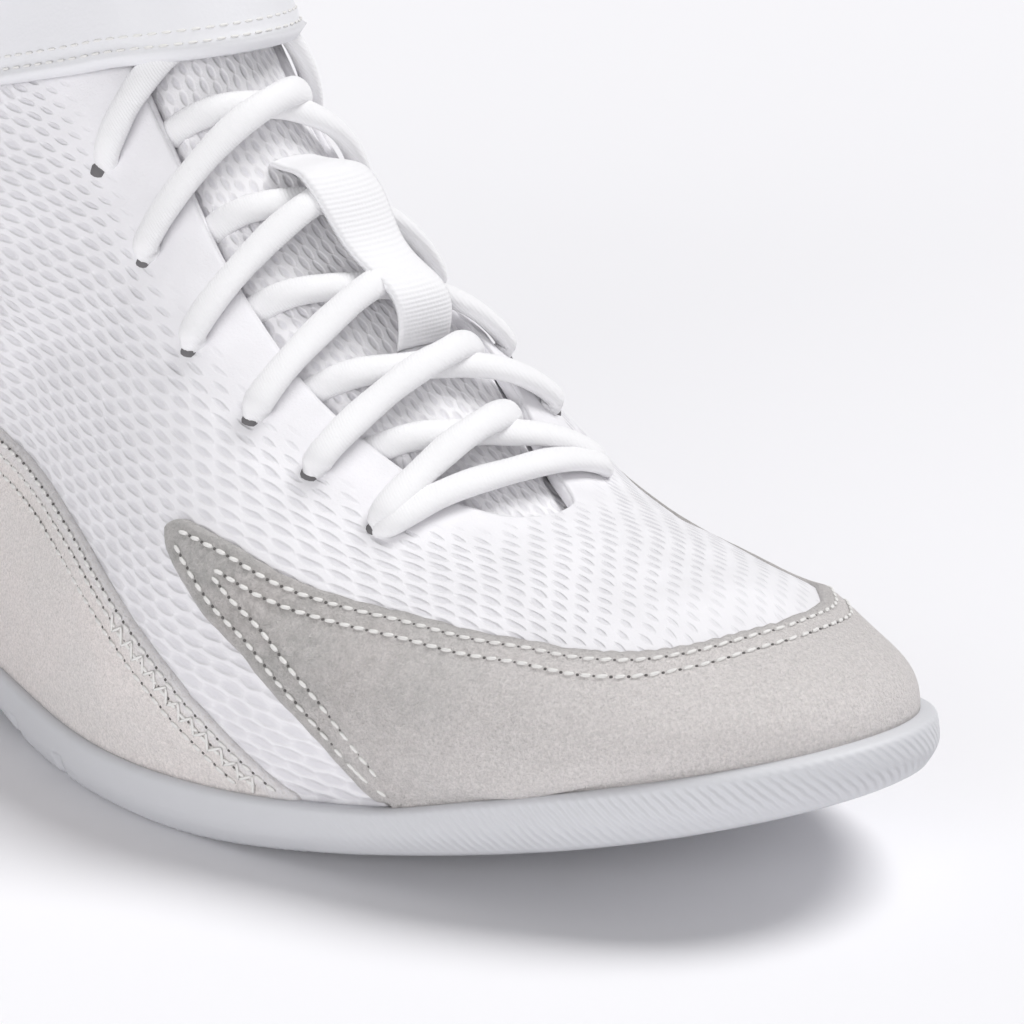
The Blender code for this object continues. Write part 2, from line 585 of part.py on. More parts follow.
def build():
    """Model every part of the shoe"""
    clear_scene()
    shoe = new_collection("wrestling_shoe")
    cutters = new_collection("cutters")
    rubber = new_material("white_rubber", (0.86, 0.86, 0.87), 0.55)
    mesh_cloth = new_material("white_mesh", (0.88, 0.88, 0.89), 0.80)
    suede = new_material("grey_suede", (0.62, 0.60, 0.58), 0.90)
    film = new_material("white_film", (0.87, 0.87, 0.88), 0.60)
    padding = new_material("white_spacer_mesh", (0.84, 0.84, 0.85), 0.85)
    webbing = new_material("white_webbing", (0.90, 0.90, 0.90), 0.75)
    lining = new_material("white_foam", (0.80, 0.80, 0.80), 0.85)
    band = new_material("white_synthetic", (0.86, 0.86, 0.88), 0.50)
    cord = new_material("white_lace", (0.90, 0.90, 0.91), 0.80)

    make_sole(shoe, cutters, rubber)
    make_insole(shoe, lining)

    throat_cutter = throat_plug("throat_cutter", THROAT_EDGE, cutters)
    band_cutter = throat_plug("eyestay_form", EYESTAY_EDGE, cutters)

    holes = []
    for row, place in EYELETS:
        for spot in (place, 1.0 - place):
            centre = last_point(np.array([row]), np.array([spot]))[0]
            normal = last_normal(np.array([row]), np.array([spot]))[0]
            helper = np.array([0.0, 0.0, 1.0])
            side = np.cross(normal, helper)
            side /= np.linalg.norm(side)
            up = np.cross(side, normal)
            turn = np.arange(SIDES) * 2.0 * math.pi / SIDES
            circle = side[None, :] * np.cos(turn)[:, None] + up[None, :] * np.sin(turn)[:, None]
            low = centre + circle * EYELET_RADIUS - normal * 0.0045
            high = centre + circle * EYELET_RADIUS + normal * 0.0035
            faces = [tuple(range(SIDES)), tuple(range(2 * SIDES - 1, SIDES - 1, -1))]
            faces += [(i, (i + 1) % SIDES, (i + 1) % SIDES + SIDES, i + SIDES) for i in range(SIDES)]
            holes.append((np.concatenate([low, high]), faces))
    points, faces = joined(holes)
    eyelet_cutter = hide_cutter(new_object("eyelet_cutter", points, faces, cutters))

    points, faces = skirt_layer(0.0, -WALL)
    upper = new_object("upper", points, faces, shoe, mesh_cloth)
    add_boolean(upper, throat_cutter, "DIFFERENCE")
    add_boolean(upper, eyelet_cutter, "DIFFERENCE")

    points, faces = body_layer(OVERLAY_GAP + OVERLAY, OVERLAY_GAP)
    toe_cap = new_object("toe_cap", points, faces, shoe, suede)
    toe_form = side_prism("toe_cap_form", TOE_CAP_OUTLINE, cutters)
    add_boolean(toe_cap, toe_form, "INTERSECT")

    counter = new_object("heel_counter", points, faces, shoe, suede)
    counter_form = side_prism("heel_counter_form", COUNTER_OUTLINE, cutters)
    add_boolean(counter, counter_form, "INTERSECT")

    near_throat = ROUND_STEPS[(ROUND_STEPS > 0.22) & (ROUND_STEPS < 0.78)]
    band_rows = ROW_STEPS[(ROW_STEPS > 4.5) & (ROW_STEPS < 15.5)]
    grid_row, grid_place = np.meshgrid(band_rows, near_throat, indexing="ij")
    outside = lifted(grid_row, grid_place, np.full(grid_row.shape, GAP + EYESTAY))
    points, faces = slab(outside, lifted(grid_row, grid_place, np.full(grid_row.shape, GAP)))
    eyestay = new_object("eyestay", points, faces, shoe, film)
    add_boolean(eyestay, band_cutter, "INTERSECT")
    add_boolean(eyestay, throat_cutter, "DIFFERENCE")
    add_boolean(eyestay, eyelet_cutter, "DIFFERENCE")

    tongue_rows = ROW_STEPS[ROW_STEPS >= 5.0]
    tongue_places = ROUND_STEPS[(ROUND_STEPS > 0.34) & (ROUND_STEPS < 0.66)]
    grid_row, grid_place = np.meshgrid(tongue_rows, tongue_places, indexing="ij")
    under = -(WALL + 0.00035)
    outside = lifted(grid_row, grid_place, np.full(grid_row.shape, under))
    inside = lifted(grid_row, grid_place, np.full(grid_row.shape, under - TONGUE))
    tip_out = outside[-1:] + np.array([-0.002, 0.0, 0.012])
    tip_in = inside[-1:] + np.array([-0.001, 0.0, 0.012])
    points, faces = slab(np.concatenate([outside, tip_out]), np.concatenate([inside, tip_in]))
    new_object("tongue", points, faces, shoe, padding)

    grid_row, grid_place = np.meshgrid(ROW_STEPS[ROW_STEPS > 8.0], ROUND_STEPS, indexing="ij")
    rise = np.clip((0.13 - np.abs(grid_place - 0.5)) / 0.04, 0.0, 1.0) * 0.0014
    low_lift = GAP + EYESTAY + GAP
    outside = lifted(grid_row, grid_place, low_lift + STRAP + rise)
    inside = lifted(grid_row, grid_place, low_lift + rise)
    points, faces = slab(outside, inside)
    strap = new_object("ankle_strap", points, faces, shoe, band)
    strap_form = side_prism("ankle_strap_form", STRAP_OUTLINE, cutters)
    add_boolean(strap, strap_form, "INTERSECT")

    over = GAP + EYESTAY + GAP + 0.0006 + LACE_HEIGHT * 0.5
    on_tongue = -WALL + 0.0002 + LACE_HEIGHT * 0.5
    for i in range(5):
        row, place = EYELETS[i]
        end_row = EDGE_ENTRIES[i]
        end_place = float(np.interp(end_row, THROAT_EDGE[:, 0], THROAT_EDGE[:, 1]))
        points, faces = strand(row, place, end_row, 1.0 - end_place - 0.016, over, 0.0024, on_tongue)
        crossing = new_object("lace_crossing_%d" % (i + 1), points, faces, shoe, cord)
        points, faces = strand(row, 1.0 - place, end_row, end_place + 0.016, over, 0.0012, on_tongue)
        under_strand = new_object("under_strand_%d" % (i + 1), points, faces, cutters)
        add_boolean(crossing, hide_cutter(under_strand), "UNION")
        if i == 0:
            part = np.array([0.0, 0.18, 0.34, 0.5, 0.66, 0.82, 1.0])
            bar_lift = np.array([over, over, over, 0.0024, over, over, over]) + 0.0004
            bar_place = place + (1.0 - 2.0 * place) * part
            points, faces = tube(np.full(7, row - 0.06), bar_place, bar_lift)
            bar = hide_cutter(new_object("bottom_bar", points, faces, cutters))
            add_boolean(crossing, bar, "UNION")
    row, place = EYELETS[5]
    low = over - 0.0006
    points, faces = strand(row, place, 12.12, 0.418, low, low, 0.0018)
    new_object("lace_end_outer", points, faces, shoe, cord)
    points, faces = strand(row, 1.0 - place, 12.12, 0.582, low, low, 0.0018)
    new_object("lace_end_inner", points, faces, shoe, cord)

    keeper_rows = np.array([8.65, 8.73, 8.81, 8.94, 9.3, 9.8, 10.2, 10.40, 10.56, 10.66, 10.75])
    keeper_lift = np.array([-0.9, -0.9, 2.2, 5.3, 5.3, 5.2, 5.0, 4.4, 1.4, -0.9, -0.9]) * 0.001
    keeper_places = np.array([0.478, 0.500, 0.522, 0.545])
    grid_row, grid_place = np.meshgrid(keeper_rows, keeper_places, indexing="ij")
    lift = keeper_lift[:, None] + 0.0 * grid_row
    points, faces = slab(lifted(grid_row, grid_place, lift + KEEPER), lifted(grid_row, grid_place, lift))
    new_object("lace_keeper", points, faces, shoe, webbing)


build()
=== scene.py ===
import math

import bmesh
import bpy
import numpy as np
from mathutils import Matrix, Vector


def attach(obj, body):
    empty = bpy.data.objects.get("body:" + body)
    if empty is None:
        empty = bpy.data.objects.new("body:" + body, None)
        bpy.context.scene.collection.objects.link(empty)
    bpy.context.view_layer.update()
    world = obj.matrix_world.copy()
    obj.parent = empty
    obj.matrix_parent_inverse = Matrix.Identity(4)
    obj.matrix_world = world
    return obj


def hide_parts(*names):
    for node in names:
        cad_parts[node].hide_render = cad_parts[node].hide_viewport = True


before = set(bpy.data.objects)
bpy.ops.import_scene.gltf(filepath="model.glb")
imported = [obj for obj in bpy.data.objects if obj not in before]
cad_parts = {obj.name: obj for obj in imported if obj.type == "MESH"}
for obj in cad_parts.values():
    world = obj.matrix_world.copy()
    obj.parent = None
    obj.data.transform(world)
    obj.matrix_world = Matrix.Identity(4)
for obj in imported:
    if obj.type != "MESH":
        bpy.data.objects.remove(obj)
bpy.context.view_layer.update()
print("frame loaded")

# Sections of the last, the same table as the solids: bottom x, bottom z, top x, top z, ridge y,
# outer foot y, inner foot y, outer belly y, inner belly y, belly height, crown, roundness of the lower edge,
# start of the crown
lastTable = np.array([
    [0.866, 0.122, 0.980, 0.177, 0.112, -0.268, 0.412, -0.268, 0.412, 0.02, 2.06, 0.00, 0.42],
    [0.855, 0.117, 0.977, 0.198, 0.108, -0.283, 0.418, -0.289, 0.422, 0.05, 2.03, 0.00, 0.34],
    [0.843, 0.111, 0.962, 0.222, 0.102, -0.297, 0.423, -0.308, 0.430, 0.10, 2.01, 0.00, 0.25],
    [0.830, 0.105, 0.925, 0.247, 0.095, -0.311, 0.428, -0.325, 0.436, 0.16, 2.00, 0.00, 0.16],
    [0.816, 0.098, 0.883, 0.271, 0.085, -0.326, 0.433, -0.342, 0.442, 0.22, 2.03, 0.00, 0.08],
    [0.798, 0.089, 0.836, 0.279, 0.075, -0.344, 0.437, -0.362, 0.450, 0.26, 2.04, 0.00, 0.02],
    [0.768, 0.078, 0.777, 0.293, 0.066, -0.374, 0.443, -0.394, 0.459, 0.28, 2.09, 0.00, 0.00],
    [0.710, 0.067, 0.718, 0.315, 0.058, -0.425, 0.450, -0.445, 0.469, 0.30, 2.12, 0.00, 0.00],
    [0.640, 0.060, 0.670, 0.380, 0.050, -0.460, 0.430, -0.478, 0.448, 0.28, 2.20, 0.00, 0.00],
    [0.560, 0.057, 0.622, 0.458, 0.035, -0.452, 0.375, -0.468, 0.395, 0.25, 2.20, 0.00, 0.00],
    [0.470, 0.060, 0.574, 0.538, 0.015, -0.390, 0.295, -0.410, 0.335, 0.24, 2.20, 0.00, 0.00],
    [0.370, 0.064, 0.534, 0.618, 0.005, -0.320, 0.255, -0.355, 0.315, 0.26, 2.15, 0.00, 0.00],
    [0.260, 0.062, 0.506, 0.684, 0.000, -0.300, 0.270, -0.345, 0.325, 0.28, 2.15, 0.00, 0.00],
    [0.160, 0.060, 0.487, 0.744, 0.000, -0.295, 0.280, -0.340, 0.330, 0.28, 2.10, 0.10, 0.00],
    [0.080, 0.060, 0.472, 0.802, 0.000, -0.250, 0.240, -0.320, 0.315, 0.28, 2.10, 0.35, 0.00],
    [0.030, 0.060, 0.460, 0.850, 0.000, -0.150, 0.145, -0.305, 0.305, 0.30, 2.10, 0.70, 0.00],
    [0.012, 0.062, 0.452, 0.885, 0.000, 0.000, 0.000, -0.300, 0.300, 0.33, 2.10, 1.00, 0.00],
    [0.006, 0.180, 0.446, 0.915, 0.000, 0.000, 0.000, -0.308, 0.308, 0.36, 2.10, 1.00, 0.00],
    [0.016, 0.330, 0.440, 0.940, 0.000, 0.000, 0.000, -0.325, 0.325, 0.42, 2.10, 1.00, 0.00],
    [0.040, 0.520, 0.434, 0.960, 0.000, 0.000, 0.000, -0.348, 0.348, 0.46, 2.10, 1.00, 0.00],
    [0.050, 0.720, 0.428, 0.980, 0.000, 0.000, 0.000, -0.362, 0.362, 0.48, 2.10, 1.00, 0.00],
    [0.046, 0.940, 0.422, 1.000, 0.000, 0.000, 0.000, -0.368, 0.368, 0.48, 2.10, 1.00, 0.00],
])
lastSize = {
    "length": 0.272, "ballWidth": 0.096, "collarHeight": 0.158, "shiftX": 0.00055, "shiftY": 0.0004,
    "lowerPart": 0.30, "heelRow": 16, "wall": 0.0020, "skirt": 0.0026, "rim": 0.0029, "toeRim": 0.0012,
    "archRise": 0.0034, "toeSpring": 0.0205, "insole": 0.0032, "gap": 0.0003,
}
lastRow = len(lastTable) - 1


def unit(vectors):
    # vectors divided by their own length
    return vectors / np.maximum(np.linalg.norm(vectors, axis=-1, keepdims=True), 1e-12)


def squareTo(vectors, along):
    # the part of each vector that is square to another, at unit length
    return unit(vectors - along * np.sum(vectors * along, axis=-1, keepdims=True))


def pathLength(points):
    # length from the first point, the running sum of the steps
    return np.concatenate([[0.0], np.cumsum(np.linalg.norm(np.diff(points, axis=0), axis=1))])


def gridLength(grid, axis):
    # the same along one direction of a grid of points
    steps = np.cumsum(np.linalg.norm(np.diff(grid, axis=axis), axis=-1), axis=axis)
    return np.insert(steps, 0, 0.0, axis=axis)


def readAlong(at, reach, table):
    # every column of a table read at the given lengths
    return np.stack([np.interp(at, reach, table[:, k]) for k in range(table.shape[1])], axis=-1)


def lengthShare(x):
    # place along the shoe, 0 at the heel and 1 at the toe
    return (x - lastSize["shiftX"]) / lastSize["length"] + 0.5


def mirrored(place, inner):
    # the same place on the inner half
    return 1.0 - place if inner else place


def splineThrough(knots, values, at):
    # natural cubic through the knots: bends solved from the tridiagonal system
    count = len(knots)
    gaps = np.diff(knots)
    system = np.zeros((count, count))
    right = np.zeros_like(values, dtype=float)
    system[0, 0] = system[-1, -1] = 1.0
    for i in range(1, count - 1):
        system[i, i - 1] = gaps[i - 1]
        system[i, i] = 2.0 * (gaps[i - 1] + gaps[i])
        system[i, i + 1] = gaps[i]
        right[i] = 6.0 * ((values[i + 1] - values[i]) / gaps[i] - (values[i] - values[i - 1]) / gaps[i - 1])
    bend = np.linalg.solve(system, right)
    at = np.asarray(at, dtype=float)
    i = np.clip(np.searchsorted(knots, at) - 1, 0, count - 2)
    before, after, span = at - knots[i], knots[i + 1] - at, gaps[i]
    if values.ndim > 1:
        before, after, span = before[:, None], after[:, None], span[:, None]
    cubic = (bend[i] * after ** 3 + bend[i + 1] * before ** 3) / (6.0 * span)
    start = (values[i] / span - bend[i] * span / 6.0) * after
    return cubic + start + (values[i + 1] / span - bend[i + 1] * span / 6.0) * before


def sectionValues(row):
    # the table read between its rows by a cubic; the foot columns have one cubic before the heel row
    # and one behind it
    heel = lastSize["heelRow"]
    rows = np.arange(len(lastTable), dtype=float)
    values = splineThrough(rows, lastTable, row)
    front = splineThrough(rows[:heel + 1], lastTable[:heel + 1], np.minimum(row, heel))
    back = splineThrough(rows[heel:], lastTable[heel:], np.maximum(row, heel))
    foot = [0, 1, 5, 6]
    values[:, foot] = np.where((row >= heel)[:, None], back[:, foot], front[:, foot])
    values[:, 5] = np.where(row >= heel, 0.0, np.minimum(values[:, 5], 0.0))
    values[:, 6] = np.where(row >= heel, 0.0, np.maximum(values[:, 6], 0.0))
    values[:, 11] = np.clip(values[:, 11], 0.0, 1.0)
    return values


def lastPoint(row, place):
    # a quarter turn from foot to belly, then a superellipse from belly to ridge, on a leaning section line
    row, place = np.broadcast_arrays(np.asarray(row, dtype=float), np.asarray(place, dtype=float))
    shape = row.shape
    row, place = row.ravel(), place.ravel()
    values = sectionValues(row).T
    lowX, lowZ, topX, topZ, ridge, footA, footB, bellyA, bellyB, level, crown, soft, begin = values
    outer = place < 0.5
    up = np.where(outer, place, 1.0 - place) * 2.0
    foot = np.where(outer, footA, footB)
    belly = np.where(outer, bellyA, bellyB)
    lowerPart = lastSize["lowerPart"] * np.clip(level / 0.26, 0.22, 1.0)
    turn = np.clip(up / lowerPart, 0.0, 1.0) * math.pi / 2.0
    lowerY = foot + (belly - foot) * np.sin(turn)
    lowerH = level * ((1.0 - soft) * turn * 2.0 / math.pi + soft * (1.0 - np.cos(turn)))
    first = np.where(outer, 1.0, 0.45) * np.clip(begin, 0.0, 1.0) * math.pi / 2.0
    rise = first + (math.pi / 2.0 - first) * np.clip((up - lowerPart) / (1.0 - lowerPart), 0.0, 1.0)
    power = 2.0 / crown
    upperY = ridge + (belly - ridge) * (np.abs(np.cos(rise)) / np.cos(first)) ** power
    base = np.sin(first) ** power
    upperH = level + (1.0 - level) * (np.sin(rise) ** power - base) / (1.0 - base)
    isLow = up < lowerPart
    y = np.where(isLow, lowerY, upperY)
    height = np.where(isLow, lowerH, upperH)
    x = (lowX + (topX - lowX) * height - 0.5) * lastSize["length"] + lastSize["shiftX"]
    z = (lowZ + (topZ - lowZ) * height) * lastSize["collarHeight"]
    return np.stack([x, y * lastSize["ballWidth"] + lastSize["shiftY"], z], axis=-1).reshape(shape + (3,))


def lastNormal(row, place):
    # cross product of a small step across and one along, level at the feet, and in the middle plane
    # on the heel seam
    row, place = np.broadcast_arrays(np.asarray(row, dtype=float), np.asarray(place, dtype=float))
    heel = lastSize["heelRow"]
    lowRow, highRow = np.clip(row - 0.04, 0.0, lastRow), np.clip(row + 0.04, 0.0, lastRow)
    highRow = np.where((row < heel) & (highRow > heel), heel, highRow)
    lowPlace, highPlace = np.clip(place - 0.008, 0.0, 1.0), np.clip(place + 0.008, 0.0, 1.0)
    along = lastPoint(highRow, place) - lastPoint(lowRow, place)
    across = lastPoint(row, highPlace) - lastPoint(row, lowPlace)
    normal = np.cross(across, along)
    edge = np.minimum(place, 1.0 - place)
    normal[..., 2] *= np.where(row < heel, np.clip(np.minimum(edge / 0.08, row), 0.0, 1.0), 1.0)
    seam = (edge < 1e-6) & (row >= heel - 1e-6)
    normal[..., 1] = np.where(seam, 0.0, normal[..., 1])
    corner = (edge < 1e-6) & (np.abs(row - heel) < 1e-6)
    normal[..., 0] = np.where(corner, -1.0, normal[..., 0])
    normal[..., 2] = np.where(corner, 0.0, normal[..., 2])
    return unit(normal)


def onLast(row, place, lift):
    # the point of the last moved out along its normal
    row, place = np.broadcast_arrays(np.asarray(row, dtype=float), np.asarray(place, dtype=float))
    lift = np.broadcast_to(np.asarray(lift, dtype=float), row.shape)
    point = lastPoint(row, place) + lastNormal(row, place) * lift[..., None]
    seam = (np.minimum(place, 1.0 - place) < 1e-6) & (row >= lastSize["heelRow"] - 1e-6)
    point[..., 1] = np.where(seam, lastSize["shiftY"], point[..., 1])
    return point


def smoothStep(low, high, value):
    # 0 up to low, 1 from high on, with a cubic between
    part = np.clip((value - low) / (high - low), 0.0, 1.0)
    return part * part * (3.0 - 2.0 * part)


def bell(distance, width):
    # 1 in the middle, fading with the square of the distance
    return np.exp(-(distance / width) ** 2)


def quarterRound(part, least=0.0):
    # from 0 at an edge to 1 inside it, along a quarter circle
    return np.sqrt(np.clip(1.0 - (1.0 - np.clip(part, 0.0, 1.0)) ** 2, least, 1.0))


def clothTables():
    # toe half: arc length back from row 7, and girth up from the outer foot with a little of the place in it
    # heel half: level steps towards the heel and climbing steps up the wall
    # the two are blended at the instep
    rows, places = np.linspace(0.0, lastRow, 211), np.linspace(0.0, 1.0, 161)
    grid = lastPoint(rows[:, None], places[None, :])
    reach, girth = gridLength(grid, 0), gridLength(grid, 1) + grid[:, :1, 2]
    frontAlong, frontAcross = reach[70:71] - reach, 0.85 * girth + 0.15 * places[None, :] * 0.19
    normal = lastNormal(rows[:, None], places[None, :])
    half = np.where(places < 0.5, 1.0, -1.0)[None, :, None]
    level = np.stack([normal[..., 1], -normal[..., 0], 0.0 * normal[..., 0]], axis=-1)
    level *= half / np.maximum(np.linalg.norm(level, axis=-1, keepdims=True), 1e-9)
    climb = np.cross(level, normal) * half
    stepBack = np.sum(np.diff(grid, axis=0) * 0.5 * (level[1:] + level[:-1]), axis=-1)
    rearAlong = np.insert(np.cumsum(stepBack, axis=0), 0, 0.0, axis=0)
    rearAlong = rearAlong - rearAlong[90:91] - frontAlong[90:91]
    stepUp = np.sum(np.diff(grid, axis=1) * 0.5 * (climb[:, 1:] + climb[:, :-1]), axis=-1)
    rearAcross = np.insert(np.cumsum(stepUp, axis=1), 0, 0.0, axis=1) + grid[:, :1, 2]
    rearAcross = np.where(places < 0.5, rearAcross, frontAcross[90, -1] + grid[90, -1, 2] - rearAcross)
    share = smoothStep(8.2, 11.0, rows)[:, None]
    along = frontAlong * (1.0 - share) - rearAlong * share
    return along * 1000.0, (frontAcross * (1.0 - share) + rearAcross * share) * 1000.0


clothAlong, clothAcross = clothTables()


def clothPlane(row, place):
    # flat coordinates in millimetres read from the two tables between their four nearest values
    rowAt = np.clip(np.asarray(row, dtype=float) * 10.0, 0.0, 209.999)
    placeAt = np.clip(np.asarray(place, dtype=float) * 160.0, 0.0, 159.999)
    i, j = rowAt.astype(int), placeAt.astype(int)
    a, b = rowAt - i, placeAt - j
    result = []
    for table in (clothAlong, clothAcross):
        low = table[i, j] * (1.0 - b) + table[i, j + 1] * b
        high = table[i + 1, j] * (1.0 - b) + table[i + 1, j + 1] * b
        result.append(low * (1.0 - a) + high * a)
    # rows of holes draw closer above the low gap: the upward coordinate grows 1.4 times as fast past 30 mm
    result[1] = result[1] + 0.40 * 6.0 * np.log1p(np.exp((result[1] - 30.0) / 6.0))
    return np.stack(result + [np.zeros(np.shape(row))], axis=-1)


def nearDistance(points, targets):
    # shortest distance from every point to a set of points
    flat = points.reshape(-1, 3)
    best = np.full(len(flat), 1e9)
    for k in range(0, len(flat), 4000):
        part = flat[k:k + 4000]
        gap = np.linalg.norm(part[:, None, :] - targets[None, :, :], axis=-1)
        best[k:k + 4000] = gap.min(axis=1)
    return best.reshape(points.shape[:-1])


def meshFromGrids(name, parts, material):
    # each part is a grid of points and its field values; matching points are joined and collapsed faces
    # dropped, and field values stay with the corners, so that they may jump at a seam
    joinSteps = 200000.0  # steps in a metre within which points count as the same
    allFaces, shift = [], 0
    for grid, _ in parts:
        rows, columns = grid.shape[:2]
        index = shift + np.arange(rows * columns).reshape(rows, columns)
        quads = np.stack([index[:-1, :-1], index[:-1, 1:], index[1:, 1:], index[1:, :-1]], axis=-1)
        allFaces.append(quads.reshape(-1, 4))
        shift += rows * columns
    points, faces = np.concatenate([grid.reshape(-1, 3) for grid, _ in parts]), np.concatenate(allFaces)
    keys = np.round(points * joinSteps).astype(np.int64)
    _, first, inverse = np.unique(keys, axis=0, return_index=True, return_inverse=True)
    inverse = inverse.reshape(-1)
    cleaned, sources, seen = [], [], set()
    for face, source in zip(inverse[faces].tolist(), faces.tolist()):
        kept = [i for i in range(4) if face[i] != face[i - 1]]
        corners = [face[i] for i in kept]
        key = tuple(sorted(corners))
        if len(set(corners)) > 2 and key not in seen:
            seen.add(key)
            cleaned.append(corners)
            sources.extend(source[i] for i in kept)
    mesh = bpy.data.meshes.new(name)
    mesh.from_pydata(points[first].tolist(), [], cleaned)
    for key, value in parts[0][1].items():
        size, kind, data = (3, "FLOAT_VECTOR", "vector") if np.ndim(value) == 3 else (1, "FLOAT", "value")
        joined = np.concatenate([np.reshape(fields[key], (-1, size)) for _, fields in parts]).astype(float)
        mesh.attributes.new(key, kind, "CORNER").data.foreach_set(data, joined[sources].ravel())
    work = bmesh.new()
    work.from_mesh(mesh)
    bmesh.ops.recalc_face_normals(work, faces=work.faces)
    if work.calc_volume(signed=True) < 0.0:
        bmesh.ops.reverse_faces(work, faces=work.faces)
    work.to_mesh(mesh)
    work.free()
    mesh.polygons.foreach_set("use_smooth", np.ones(len(mesh.polygons), dtype=bool))
    return addPiece(name, mesh, material)


def addPiece(name, mesh, material):
    piece = bpy.data.objects.new(name, mesh)
    bpy.context.scene.collection.objects.link(piece)
    mesh.materials.append(material)
    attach(piece, "root")
    return piece


borders = {
    "start": lambda grid: grid[0], "end": lambda grid: grid[-1],
    "left": lambda grid: grid[:, 0], "right": lambda grid: grid[:, -1],
}


def shell(outer, inner, values=None, sides=("start", "end", "left", "right")):
    # outer skin, inner skin turned over, and a strip along each border named, with their field values
    values = values or {}
    parts = [(outer, values), (inner[::-1], {key: value[::-1] for key, value in values.items()})]
    for pick in [borders[side] for side in sides]:
        strip = {key: np.stack([pick(value)] * 2) for key, value in values.items()}
        parts.append((np.stack([pick(outer), pick(inner)]), strip))
    return parts


def bare(grids):
    return [(grid, {}) for grid in grids]


def edgeCurve(table):
    # edge table smoothed through its points and read back as place at a row
    at = np.linspace(0.0, len(table) - 1.0, 600)
    curve = splineThrough(np.arange(len(table), dtype=float), table, at)
    rows = np.maximum.accumulate(curve[:, 0])
    return lambda row: np.interp(row, rows, curve[:, 1])


def sweepTube(path, up, width, height, sides):
    # oval rings along a path, closed by small rounded ends
    along = unit(np.gradient(path, axis=0))
    side = unit(np.cross(along, up))
    lift = np.cross(side, along)
    turn = np.linspace(0.0, 2.0 * math.pi, sides + 1)
    size = np.ones(len(path))
    size[[0, -1]] = 0.02
    size[[1, -2]] = 0.55
    width = np.broadcast_to(width, len(path))[:, None, None]
    ring = 0.5 * (side[:, None, :] * np.cos(turn)[None, :, None] * width
                  + lift[:, None, :] * np.sin(turn)[None, :, None] * height)
    grid = path[:, None, :] + ring * size[:, None, None]
    grid[:, -1] = grid[:, 0]
    grid[0] = path[0]
    grid[-1] = path[-1]
    return grid


def resamplePath(points, count):
    # evenly spaced points on a natural cubic through the given ones
    reach = pathLength(points)
    fine = splineThrough(reach, points, np.linspace(0.0, reach[-1], count * 6))
    return stretchPath(fine, pathLength(fine), count)


def stretchPath(table, reach, count):
    # the same path with a number of even steps
    return readAlong(np.linspace(0.0, reach[-1], count), reach, table)


def newMaterial(name, colour, roughness, settings=None):
    # a Principled material; what is the same all over its surface is set on the shader's own sockets
    material = bpy.data.materials.new(name)
    material.use_nodes = True
    shader = material.node_tree.nodes["Principled BSDF"]
    shader.inputs["Base Color"].default_value = (*colour, 1.0)
    shader.inputs["Roughness"].default_value = roughness
    for key, value in (settings or {}).items():
        shader.inputs[key].default_value = value
    material.diffuse_color = (*colour, 1.0)
    return material, material.node_tree, shader


def addNode(tree, kind, **settings):
    node = tree.nodes.new(kind)
    for key, value in settings.items():
        setattr(node, key, value)
    return node


def mathNode(tree, operation, a, b=None):
    node = addNode(tree, "ShaderNodeMath", operation=operation)
    for socket, value in zip(node.inputs, (a, b)):
        if isinstance(value, (int, float)):
            socket.default_value = value
        elif value is not None:
            tree.links.new(value, socket)
    return node.outputs[0]


def mixColour(tree, factor, a, b, blend="MIX"):
    node = addNode(tree, "ShaderNodeMix", data_type="RGBA", blend_type=blend)
    for socket, value in ((node.inputs[0], factor), (node.inputs[6], a), (node.inputs[7], b)):
        if isinstance(value, tuple):
            socket.default_value = (*value, 1.0)
        elif isinstance(value, (int, float)):
            socket.default_value = value
        else:
            tree.links.new(value, socket)
    return node.outputs[2]


def remap(tree, value, lowIn, highIn, lowOut=0.0, highOut=1.0, smooth=True):
    node = addNode(tree, "ShaderNodeMapRange", interpolation_type="SMOOTHSTEP" if smooth else "LINEAR")
    tree.links.new(value, node.inputs[0])
    for k, number in enumerate((lowIn, highIn, lowOut, highOut)):
        node.inputs[k + 1].default_value = number
    return node.outputs[0]


def attribute(tree, name, vector=False):
    node = addNode(tree, "ShaderNodeAttribute", attribute_name=name)
    return node.outputs["Vector"] if vector else node.outputs["Fac"]


def objectPoint(tree, scale):
    coords = addNode(tree, "ShaderNodeTexCoord")
    node = addNode(tree, "ShaderNodeVectorMath", operation="SCALE")
    tree.links.new(coords.outputs["Object"], node.inputs[0])
    node.inputs["Scale"].default_value = scale
    return node.outputs[0]


def noise(tree, vector, scale, detail=2.0, rough=0.5):
    node = addNode(tree, "ShaderNodeTexNoise")
    tree.links.new(vector, node.inputs["Vector"])
    node.inputs["Scale"].default_value = scale
    node.inputs["Detail"].default_value = detail
    node.inputs["Roughness"].default_value = rough
    return node.outputs[0]


def waves(tree, vector, direction, scale, distortion=0.0, detail=2.0):
    node = addNode(tree, "ShaderNodeTexWave", wave_type="BANDS", bands_direction=direction)
    tree.links.new(vector, node.inputs["Vector"])
    for key, value in (("Scale", scale), ("Distortion", distortion), ("Detail", detail)):
        node.inputs[key].default_value = value
    return node.outputs[1]


def addBumps(tree, shader, *layers):
    # bump nodes one on another, each layer a height, its distance in metres and its strength
    normal = None
    for height, distance, strength in layers:
        node = addNode(tree, "ShaderNodeBump")
        node.inputs["Distance"].default_value = distance
        node.inputs["Strength"].default_value = strength
        tree.links.new(height, node.inputs["Height"])
        if normal is not None:
            tree.links.new(normal, node.inputs["Normal"])
        normal = node.outputs[0]
    tree.links.new(normal, shader.inputs["Normal"])


